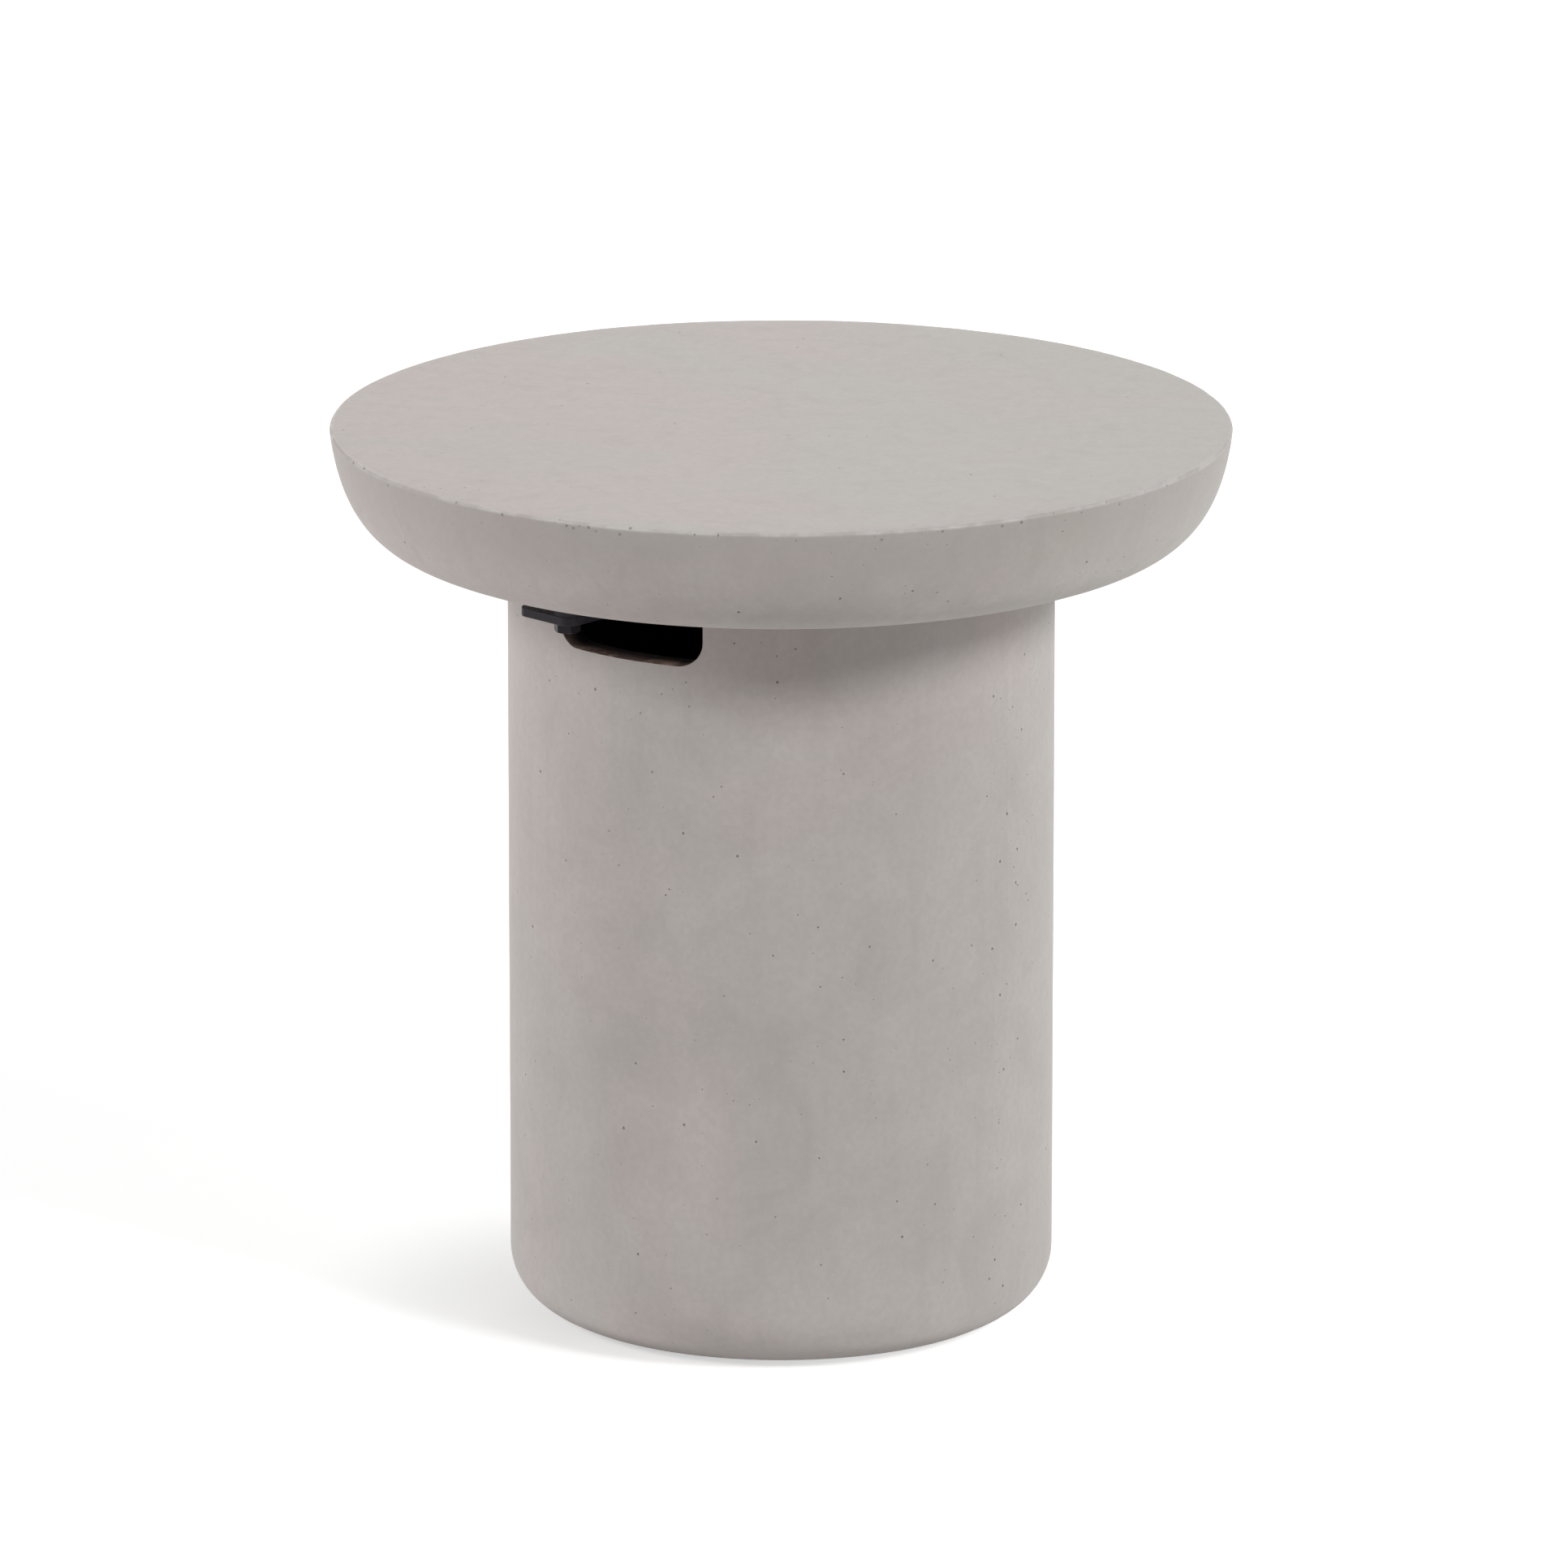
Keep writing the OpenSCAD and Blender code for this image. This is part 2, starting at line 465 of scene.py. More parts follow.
class Wiring:
    """Adds the nodes of one material, world or node group, and joins them."""

    def __init__(self, tree: bpy.types.NodeTree) -> None:
        """Starts on a tree."""
        self.tree = tree

    def feed(self, socket: bpy.types.NodeSocket, value: Feed) -> None:
        """Joins a socket to another one, or sets it to a plain value."""
        if isinstance(value, bpy.types.NodeSocket):
            self.tree.links.new(value, socket)
        else:
            socket.default_value = value

    def add(self, kind: str, feeds: dict[str | int, Feed], **settings: object) -> bpy.types.Node:
        """Adds a node.

        Args:
            kind: Name of the node's type.
            feeds: Sockets or values for its inputs, by the input's name or number.
            **settings: The node's own settings.

        Returns:
            The node.
        """
        node = self.tree.nodes.new(kind)
        for key, value in settings.items():
            setattr(node, key, value)
        for key, value in feeds.items():
            self.feed(node.inputs[key], value)
        return node

    def maths(
        self, operation: str, a: Feed, b: Feed = 0.0, clamp: bool = False
    ) -> bpy.types.NodeSocket:
        """Adds a Math node and returns its result."""
        node = self.add("ShaderNodeMath", {0: a, 1: b}, operation=operation, use_clamp=clamp)
        return node.outputs[0]

    def times(self, a: Feed, b: Feed) -> bpy.types.NodeSocket:
        """Multiplies two values."""
        return self.maths("MULTIPLY", a, b)

    def plus(self, a: Feed, b: Feed) -> bpy.types.NodeSocket:
        """Adds two values."""
        return self.maths("ADD", a, b)

    def band(self, value: Feed, low: Feed, high: Feed) -> bpy.types.NodeSocket:
        """Maps a value softly to 0 at low and 1 at high."""
        feeds = {"Value": value, "From Min": low, "From Max": high}
        return self.add("ShaderNodeMapRange", feeds, interpolation_type="SMOOTHSTEP").outputs[0]

    def blend(self, share: Feed, under: Feed, over: Feed) -> bpy.types.NodeSocket:
        """Lays one colour over another by a share and returns the mix."""
        feeds = {0: share, 6: under, 7: over}
        return self.add("ShaderNodeMix", feeds, data_type="RGBA").outputs[2]

    def noise(
        self, vector: Feed, scale: Feed, detail: float, rough: float, swirl: Feed = 0.0
    ) -> bpy.types.NodeSocket:
        """Adds a noise pattern.

        Args:
            vector: Where it is read.
            scale: Patches in a metre.
            detail: Layers of finer patches.
            rough: How strong the finer layers are.
            swirl: How far the patches are drawn out.

        Returns:
            The noise, about 0.5.
        """
        feeds = {"Vector": vector, "Scale": scale, "Detail": detail, "Roughness": rough,
                 "Distortion": swirl}
        return self.add("ShaderNodeTexNoise", feeds).outputs[0]

    def shift(self, vector: Feed, offset: Triple) -> bpy.types.NodeSocket:
        """Moves a pattern and returns the moved vector."""
        return self.add("ShaderNodeMapping", {"Vector": vector, "Location": offset}).outputs[0]


def effect(
    name: str, vectors: Names, colours: Names, values: Names
) -> Callable[[Callable[..., Sockets]], Callable[[], bpy.types.NodeTree]]:
    """Turns a function that wires an effect into one that gives its node group.

    The group is built once, on first use, and shared by all finishes.

    Args:
        name: The group's name.
        vectors: Its vector inputs.
        colours: Its colour inputs.
        values: Its plain inputs.

    Returns:
        The decorator.
    """
    def share(wire: Callable[..., Sockets]) -> Callable[[], bpy.types.NodeTree]:
        """Wraps one wiring function."""
        def group() -> bpy.types.NodeTree:
            """Gives the effect's node group, built on its first use.

            Returns:
                The group.
            """
            if name in bpy.data.node_groups:
                return bpy.data.node_groups[name]
            tree = bpy.data.node_groups.new(name, "ShaderNodeTree")
            for kind, labels in (("Vector", vectors), ("Color", colours), ("Float", values)):
                for label in labels:
                    tree.interface.new_socket(
                        name=label, in_out="INPUT", socket_type=f"NodeSocket{kind}"
                    )
            w = Wiring(tree)
            results = wire(w, w.add("NodeGroupInput", {}).outputs)
            for label in results:
                kind = "NodeSocketColor" if label == "Color" else "NodeSocketFloat"
                tree.interface.new_socket(name=label, in_out="OUTPUT", socket_type=kind)
            w.add("NodeGroupOutput", results)
            return tree

        return group

    return share


@effect(
    "cement clouds", vectors=("Vector", "Lean"), colours=("Warm", "Cool", "Pale", "Dark"),
    values=("Size", "Swirl", "Pale Share", "Dark Share", "Warmth"),
)
def clouds(w: Wiring, given: bpy.types.NodeOutputs) -> Sockets:
    """Wires cement clouds: warm and cool drifts with pale and dark patches, on Vector in metres.

    The drift grows warmer along Lean, as the side of a batch that cured last does.

    Args:
        w: The group's wiring.
        given: What the group's inputs give.

    Returns:
        The clouds' colour, and the pattern of their patches.
    """
    scale = w.maths("DIVIDE", 1.0, given["Size"])
    vector = given["Vector"]
    lean = w.add("ShaderNodeVectorMath", {0: vector, 1: given["Lean"]}, operation="DOT_PRODUCT")
    bias = w.plus(lean.outputs["Value"], given["Warmth"])
    drift = w.plus(w.noise(vector, scale, 2.0, 0.45, given["Swirl"]), bias)
    ground = w.blend(w.band(drift, 0.34, 0.66), given["Cool"], given["Warm"])
    finer = w.times(scale, 2.7)
    patches = w.noise(w.shift(vector, (3.1, 1.7, 0.4)), finer, 5.0, 0.62, given["Swirl"])
    pale = w.times(w.band(patches, 0.47, 0.72), given["Pale Share"])
    dark = w.times(w.band(patches, 0.52, 0.28), given["Dark Share"])
    ground = w.blend(dark, w.blend(pale, ground, given["Pale"]), given["Dark"])
    return {"Color": ground, "Patches": patches}


# A pit is as deep as PIT_DEPTH times its radius. LEAST_PIT keeps a radius of nought from being
# divided by.
PIT_DEPTH = 1.1
LEAST_PIT = 0.02 * MM


@effect("air pits", vectors=("Vector",), colours=(), values=("Spacing", "Radius"))
def pits(w: Wiring, given: bpy.types.NodeOutputs) -> Sockets:
    """Wires air pits: round pinholes of mixed size, few of them large.

    Args:
        w: The group's wiring.
        given: What the group's inputs give.

    Returns:
        The pits' mask, and their height in millimetres.
    """
    scale = w.maths("DIVIDE", 1.0, given["Spacing"])
    cells = w.add("ShaderNodeTexVoronoi", {"Vector": given["Vector"], "Scale": scale}).outputs
    chance = w.add("ShaderNodeSeparateColor", {"Color": cells["Color"]}).outputs[0]
    size = w.times(given["Radius"], w.maths("POWER", chance, 1.6))
    away = w.times(cells["Distance"], given["Spacing"])
    reach = w.maths("DIVIDE", away, w.plus(size, LEAST_PIT))
    bowl = w.maths("SUBTRACT", 1.0, w.times(reach, reach), clamp=True)
    height = w.times(bowl, w.times(size, -PIT_DEPTH / MM))
    return {"Mask": w.band(bowl, 0.05, 0.65), "Height": height}


@effect("fine sand", vectors=("Vector",), colours=(), values=("Size",))
def sand(w: Wiring, given: bpy.types.NodeOutputs) -> Sockets:
    """Wires the fine sand in the skin of a casting.

    Args:
        w: The group's wiring.
        given: What the group's inputs give.

    Returns:
        A height about nought, a mask of pale grains, and a coarser tone about one half.
    """
    scale = w.maths("DIVIDE", 1.0, given["Size"])
    vector = given["Vector"]
    fine = w.noise(vector, scale, 2.0, 0.6)
    coarse = w.noise(vector, w.times(scale, 0.22), 3.0, 0.55)
    height = w.maths("SUBTRACT", w.plus(fine, coarse), 1.0)
    cells = w.add("ShaderNodeTexVoronoi", {"Vector": vector, "Scale": w.times(scale, 0.16)})
    grains = w.band(cells.outputs["Distance"], 0.115, 0.055)
    return {"Height": height, "Grains": grains, "Tone": coarse}


@effect(
    "round arris", vectors=("Vector",), colours=(),
    values=("Radius", "Height", "Reach", "Evenness"),
)
def arris(w: Wiring, given: bpy.types.NodeOutputs) -> Sockets:
    """Wires a band along a round edge of given radius and height, for wear with a painted highlight,
    painted light at a slot's lip, and the nicks' zone.

    Args:
        w: The group's wiring.
        given: What the group's inputs give.

    Returns:
        The band's mask, broken by noise unless Evenness is 1.
    """
    parts = w.add("ShaderNodeSeparateXYZ", {"Vector": given["Vector"]}).outputs
    flat = w.add("ShaderNodeCombineXYZ", {"X": parts["X"], "Y": parts["Y"]}).outputs[0]
    radius = w.add("ShaderNodeVectorMath", {0: flat}, operation="LENGTH").outputs["Value"]
    aside = w.maths("SUBTRACT", radius, given["Radius"])
    above = w.maths("SUBTRACT", parts["Z"], given["Height"])
    away = w.maths("SQRT", w.plus(w.times(aside, aside), w.times(above, above)))
    near = w.band(away, given["Reach"], 0.0)
    broken = w.band(w.noise(given["Vector"], 45.0, 3.0, 0.6), 0.36, 0.62)
    return {"Mask": w.times(near, w.maths("MAXIMUM", broken, given["Evenness"]))}


@effect("run marks", vectors=("Vector",), colours=(), values=("Width", "Length"))
def runs(w: Wiring, given: bpy.types.NodeOutputs) -> Sockets:
    """Wires run marks: streaks with one width across and another length in Z.

    Args:
        w: The group's wiring.
        given: What the group's inputs give.

    Returns:
        The marks' mask.
    """
    across = w.maths("DIVIDE", 1.0, given["Width"])
    along = w.maths("DIVIDE", 1.0, given["Length"])
    scale = w.add("ShaderNodeCombineXYZ", {"X": across, "Y": across, "Z": along}).outputs[0]
    feeds = {0: given["Vector"], 1: scale}
    vector = w.add("ShaderNodeVectorMath", feeds, operation="MULTIPLY").outputs[0]
    return {"Mask": w.band(w.noise(vector, 1.0, 3.0, 0.5), 0.52, 0.74)}


class Finish:
    """What every finish shares: a fresh material with one shader, ready to be fed."""

    def start(self, name: str, **sockets: Feed) -> tuple[bpy.types.Material, Wiring, bpy.types.Node]:
        """Starts a material.

        Args:
            name: The material's name.
            **sockets: Plain values for the shader's own sockets, spaces written as underscores.

        Returns:
            The material, its wiring and its Principled shader.
        """
        material = bpy.data.materials.new(name)
        material.use_nodes = True
        material.node_tree.nodes.clear()
        wiring = Wiring(material.node_tree)
        feeds = {key.replace("_", " "): value for key, value in sockets.items()}
        shader = wiring.add("ShaderNodeBsdfPrincipled", feeds)
        out = wiring.add("ShaderNodeOutputMaterial", {})
        wiring.feed(out.inputs["Surface"], shader.outputs[0])
        return material, wiring, shader

    @staticmethod
    def spot(w: Wiring) -> bpy.types.NodeSocket:
        """Adds the object's own coordinates, in metres, and returns them."""
        return w.add("ShaderNodeTexCoord", {}).outputs["Object"]

    @staticmethod
    def lay(
        w: Wiring, group: Callable[[], bpy.types.NodeTree], **feeds: Feed
    ) -> bpy.types.NodeOutputs:
        """Places an effect's node group.

        Args:
            w: The material's wiring.
            group: Gives the effect's node group.
            **feeds: Its inputs, spaces written as underscores.

        Returns:
            The effect's outputs.
        """
        node = w.add("ShaderNodeGroup", {}, node_tree=group())
        for key, value in feeds.items():
            w.feed(node.inputs[key.replace("_", " ")], value)
        return node.outputs

    @staticmethod
    def bump(w: Wiring, shader: bpy.types.Node, height: Feed) -> None:
        """Bumps a shader by a height in millimetres."""
        feeds = {"Strength": 1.0, "Distance": MM, "Height": height}
        w.feed(shader.inputs["Normal"], w.add("ShaderNodeBump", feeds).outputs[0])


@dataclass(frozen=True)
class CastConcrete(Finish):
    """Fibre concrete with a sealed, matt skin.

    Each share says how strongly a mark covers what lies below it, from 0 to 1. The edge colour
    lightens a band along a round edge: on the tabletop the worn edge with a painted highlight, in
    the slots painted light falling in past the lip. The painted shade fades from shade_to, where
    it is full, to shade_from. The pits, specks and nicks are painted dark as painted shade in them.
    """

    name: str
    slot: str
    warm: Colour
    cool: Colour
    pale: Colour
    dark: Colour
    pit: Colour = (0.16, 0.145, 0.135, 1)
    # Painted highlight: the worn rim's edge colour, lighter than the skin.
    edge: Colour = (0.69, 0.662, 0.640, 1)
    shade_colour: Colour = (0.430, 0.396, 0.371, 1)
    cloud: float = 0.16
    lean: Triple = (0.0, 0.0, 0.0)
    warmth: float = 0.0
    swirl: float = 0.6
    pale_share: float = 0.35
    dark_share: float = 0.30
    pit_spacing: float = 9.5 * MM
    pit_radius: float = 0.90 * MM
    pit_share: float = 0.7
    speck_spacing: float = 0.6
    speck_size: float = 0.5
    speck_share: float = 0.8
    grain: float = 0.9 * MM
    grain_height: float = 0.035
    grain_share: float = 0.45
    tone_share: float = 0.16
    run_width: float = 16.0 * MM
    run_stretch: float = 14.0
    run_share: float = 0.0
    sweeps: float = 26.0
    trowel: float = 0.0
    edge_radius: float = 0.0
    edge_height: float = 1.0
    edge_reach: float = 2.4 * MM
    edge_evenness: float = 0.15
    edge_share: float = 0.0
    edge_polish: float = 0.12
    nick_spacing: float = 4.6 * MM
    nick_radius: float = 1.5 * MM
    nick_reach: float = 6.0 * MM
    nick_share: float = 0.0
    shade_from: float = 17.0 * MM
    shade_to: float = 0.0
    shade_share: float = 0.0
    rough: float = 0.62
    rough_spread: float = 0.22
    gloss: float = 0.42
    chalk: float = 0.35

    def paint(self) -> bpy.types.Material:
        """Builds the concrete's material.

        Returns:
            The concrete's material.
        """
        material, w, shader = self.start(
            self.name, Specular_IOR_Level=self.gloss, Diffuse_Roughness=self.chalk
        )
        here = self.spot(w)
        ground = self.lay(
            w, clouds, Vector=here, Size=self.cloud, Swirl=self.swirl, Warm=self.warm,
            Cool=self.cool, Pale=self.pale, Pale_Share=self.pale_share, Dark=self.dark,
            Dark_Share=self.dark_share, Lean=self.lean, Warmth=self.warmth,
        )
        grit = self.lay(w, sand, Vector=here, Size=self.grain)
        holes = self.lay(w, pits, Vector=here, Spacing=self.pit_spacing, Radius=self.pit_radius)
        specks = self.lay(
            w, pits, Vector=w.shift(here, (0.31, 0.17, 0.05)),
            Spacing=self.pit_spacing * self.speck_spacing, Radius=self.pit_radius * self.speck_size,
        )
        marks = self.lay(
            w, runs, Vector=here, Width=self.run_width, Length=self.run_width * self.run_stretch
        )
        edge_wear_and_light = self.lay(
            w, arris, Vector=here, Radius=self.edge_radius, Height=self.edge_height,
            Reach=self.edge_reach, Evenness=self.edge_evenness,
        )["Mask"]
        colour = w.blend(w.times(marks["Mask"], self.run_share), ground["Color"], self.dark)
        tone = w.times(w.band(grit["Tone"], 0.38, 0.62), self.tone_share)
        colour = w.blend(tone, colour, self.dark)
        colour = w.blend(w.times(grit["Grains"], self.grain_share), colour, self.pale)
        # Painted shade: darker towards the top of the tabletop's side, and towards the pedestal's
        # foot.
        colour = w.blend(self._shade_band(w, here), colour, self.shade_colour)
        # Edge band: wear with a painted highlight on the tabletop's rim, and painted light on the
        # slots' sills.
        colour = w.blend(w.times(edge_wear_and_light, self.edge_share), colour, self.edge)
        # Pits, specks and nicks are painted dark, as painted shade in the holes and chips.
        pitted_at = w.maths("MAXIMUM", holes["Mask"], w.times(specks["Mask"], self.speck_share))
        pitted_at = w.maths("MAXIMUM", pitted_at, self._nicks(w, here))
        colour = w.blend(w.times(pitted_at, self.pit_share), colour, self.pit)
        w.feed(shader.inputs["Base Color"], colour)
        rough = w.times(ground["Patches"], self.rough_spread)
        rough = w.plus(rough, self.rough - self.rough_spread / 2)
        rough = w.maths("SUBTRACT", rough, w.times(edge_wear_and_light, self.edge_polish))
        w.feed(shader.inputs["Roughness"], rough)
        sweep = w.noise(w.shift(here, (0.7, 0.2, 0.0)), self.sweeps, 3.0, 0.55, 1.4)
        height = w.plus(w.times(grit["Height"], self.grain_height), w.times(sweep, self.trowel))
        self.bump(w, shader, w.plus(height, w.plus(holes["Height"], specks["Height"])))
        return material

    def _shade_band(self, w: Wiring, here: bpy.types.NodeSocket) -> bpy.types.NodeSocket:
        """Masks the painted shade, which ends just below the worn edge.

        Args:
            w: The material's wiring.
            here: The object's own coordinates.

        Returns:
            The stain's mask.
        """
        level = w.add("ShaderNodeSeparateXYZ", {"Vector": here}).outputs["Z"]
        shade_amount = w.times(w.band(level, self.shade_from, self.shade_to), self.shade_share)
        return w.times(shade_amount, w.band(level, self.edge_height, self.edge_height - 2 * MM))

    def _nicks(self, w: Wiring, here: bpy.types.NodeSocket) -> bpy.types.NodeSocket:
        """Masks the nicks along the worn edge, painted dark as painted shade in the chips.

        Args:
            w: The material's wiring.
            here: The object's own coordinates.

        Returns:
            The nicks' mask.
        """
        marks = self.lay(
            w, pits, Vector=w.shift(here, (0.13, 0.41, 0.23)),
            Spacing=self.nick_spacing, Radius=self.nick_radius,
        )
        zone = self.lay(
            w, arris, Vector=here, Radius=self.edge_radius, Height=self.edge_height - 2 * MM,
            Reach=self.nick_reach, Evenness=0.0,
        )
        near = w.times(w.band(zone["Mask"], 0.15, 0.5), self.nick_share)
        return w.times(marks["Mask"], near)


@dataclass(frozen=True)
class PowderCoat(Finish):
    """Black powder coat on steel, with its orange-peel skin and dust."""

    name: str = "black_powder_coat"
    slot: str = "bar_paint"
    coat: Colour = (0.026, 0.022, 0.027, 1)
    dust: Colour = (0.115, 0.100, 0.108, 1)
    dust_patches: float = 38.0
    dust_share: float = 0.35
    peel: float = 1.6 * MM
    peel_height: float = 0.03
    rough: float = 0.42
    dust_rough: float = 0.2
    gloss: float = 0.14

    def paint(self) -> bpy.types.Material:
        """Builds the coat's material.

        Returns:
            The coat's material.
        """
        material, w, shader = self.start(self.name, Specular_IOR_Level=self.gloss)
        here = self.spot(w)
        dusty = w.band(w.noise(here, self.dust_patches, 5.0, 0.65), 0.5, 0.8)
        colour = w.blend(w.times(dusty, self.dust_share), self.coat, self.dust)
        w.feed(shader.inputs["Base Color"], colour)
        w.feed(shader.inputs["Roughness"], w.plus(w.times(dusty, self.dust_rough), self.rough))
        skin = self.lay(w, sand, Vector=here, Size=self.peel)
        self.bump(w, shader, w.times(skin["Height"], self.peel_height))
        return material


@dataclass(frozen=True)
class PlatedMetal(Finish):
    """Bright plated or turned metal with fine tool lines and dull spots."""

    name: str
    slot: str
    bright: Colour
    dull: Colour
    spots: float = 260.0
    line: float = 0.35 * MM
    line_stretch: float = 30.0
    line_height: float = 0.02
    rough: float = 0.30
    spot_rough: float = 0.25
    line_rough: float = 0.1

    def paint(self) -> bpy.types.Material:
        """Builds the metal's material.

        Returns:
            The metal's material.
        """
        material, w, shader = self.start(self.name, Metallic=1.0)
        here = self.spot(w)
        dulled = w.band(w.noise(here, self.spots, 5.0, 0.6), 0.42, 0.7)
        width = self.line * self.line_stretch
        tool = self.lay(w, runs, Vector=here, Width=width, Length=self.line)["Mask"]
        w.feed(shader.inputs["Base Color"], w.blend(dulled, self.bright, self.dull))
        rough = w.plus(w.times(dulled, self.spot_rough), self.rough)
        w.feed(shader.inputs["Roughness"], w.plus(rough, w.times(tool, self.line_rough)))
        self.bump(w, shader, w.times(tool, self.line_height))
        return material


@dataclass(frozen=True)
class SheetRubber(Finish):
    """Matt black rubber with a pebbled skin and grey bloom."""

    name: str
    slot: str
    ground: Colour
    bloom: Colour
    bloom_patches: float = 90.0
    bloom_share: float = 0.5
    bloom_rough: float = 0.1
    pebble: float = 0.8 * MM
    pebble_height: float = 0.06
    rough: float = 0.78
    gloss: float = 0.35

    def paint(self) -> bpy.types.Material:
        """Builds the rubber's material.

        Returns:
            The rubber's material.
        """
        material, w, shader = self.start(self.name, Specular_IOR_Level=self.gloss)
        here = self.spot(w)
        bloomed = w.band(w.noise(here, self.bloom_patches, 4.0, 0.6), 0.45, 0.75)
        colour = w.blend(w.times(bloomed, self.bloom_share), self.ground, self.bloom)
        w.feed(shader.inputs["Base Color"], colour)
        w.feed(shader.inputs["Roughness"], w.plus(w.times(bloomed, self.bloom_rough), self.rough))
        skin = self.lay(w, sand, Vector=here, Size=self.pebble)
        self.bump(w, shader, w.times(skin["Height"], self.pebble_height))
        return material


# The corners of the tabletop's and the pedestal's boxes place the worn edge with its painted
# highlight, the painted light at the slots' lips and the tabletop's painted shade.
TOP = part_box("tabletop")[1]
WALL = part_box("pedestal")[1]
TABLETOP_SKIN = CastConcrete(
    name="tabletop_concrete_skin", slot="tabletop_concrete",
    warm=(0.562, 0.501, 0.474, 1), cool=(0.540, 0.511, 0.478, 1),
    pale=(0.645, 0.613, 0.580, 1), dark=(0.430, 0.396, 0.371, 1),
    cloud=0.110, lean=(-0.72, -0.62, 0.0), trowel=0.10, edge_radius=TOP.x - 0.8 * MM,
    edge_height=TOP.z - 0.8 * MM, edge_share=0.8, nick_share=0.9, run_share=0.24,
    shade_from=TOP.z - 50 * MM, shade_to=TOP.z - 5 * MM, shade_share=0.42,
)
PEDESTAL_SKIN = CastConcrete(
    name="pedestal_concrete_skin", slot="pedestal_concrete",
    warm=(0.555, 0.496, 0.476, 1), cool=(0.524, 0.494, 0.466, 1),
    pale=(0.622, 0.590, 0.564, 1), dark=(0.405, 0.375, 0.355, 1),
    shade_colour=(0.300, 0.263, 0.245, 1), cloud=0.150, lean=(-0.66, -0.80, 0.46), warmth=-0.20,
    run_share=0.15, shade_share=0.8,
)
# Painted shade: the hollow and the slots get a near-black concrete, and its brown edge colour
# lightens the slots' sills towards the outer lip as painted light falling in.
SHADED_INNER_CONCRETE = CastConcrete(
    name="raw_inner_concrete", slot="pedestal_concrete",
    warm=(0.026, 0.020, 0.018, 1), cool=(0.020, 0.017, 0.016, 1),
    pale=(0.150, 0.112, 0.094, 1), dark=(0.012, 0.010, 0.009, 1), pit=(0.010, 0.009, 0.008, 1),
    edge=(0.620, 0.450, 0.380, 1), cloud=0.090, pale_share=0.04, pit_spacing=9.0 * MM,
    pit_radius=1.5 * MM, grain=1.8 * MM, grain_height=0.15, grain_share=0.05,
    edge_radius=WALL.x + MM, edge_height=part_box("clamp_bar")[1].z - 29 * MM,
    edge_reach=14.0 * MM, edge_evenness=0.35, edge_share=1.0, rough=0.85, gloss=0.10,
)
ZINC = PlatedMetal(
    name="zinc_plated_steel", slot="zinc_steel",
    bright=(0.62, 0.63, 0.66, 1), dull=(0.40, 0.41, 0.43, 1),
)
BLACKED = PowderCoat(name="black_painted_fastener", slot="zinc_steel")
BRASS = PlatedMetal(
    name="turned_brass", slot="insert_brass",
    bright=(0.72, 0.53, 0.26, 1), dull=(0.45, 0.33, 0.17, 1),
)
GASKET_RUBBER = SheetRubber(
    name="gasket_sheet_rubber", slot="gasket_rubber",
    ground=(0.030, 0.030, 0.031, 1), bloom=(0.075, 0.073, 0.070, 1),
)
GLIDE_RUBBER = SheetRubber(
    name="glide_moulded_rubber", slot="glide_rubber",
    ground=(0.055, 0.055, 0.056, 1), bloom=(0.120, 0.118, 0.112, 1),
)


def hand_over(piece: bpy.types.Object, finish: Finish, node: str) -> None:
    """Dresses a finished piece, unless it is dressed, and ties it to its body and its CAD node.

    Args:
        piece: The finished piece.
        finish: Its main finish.
        node: The CAD node that it stands for, alone or with others.
    """
    if not piece.data.materials:
        piece.data.materials.append(bpy.data.materials.get(finish.name) or finish.paint())
    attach(piece, BODY)
    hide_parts(node)
    log.info("%s: %d faces", piece.name, len(piece.data.polygons))


# The table's sub-assemblies


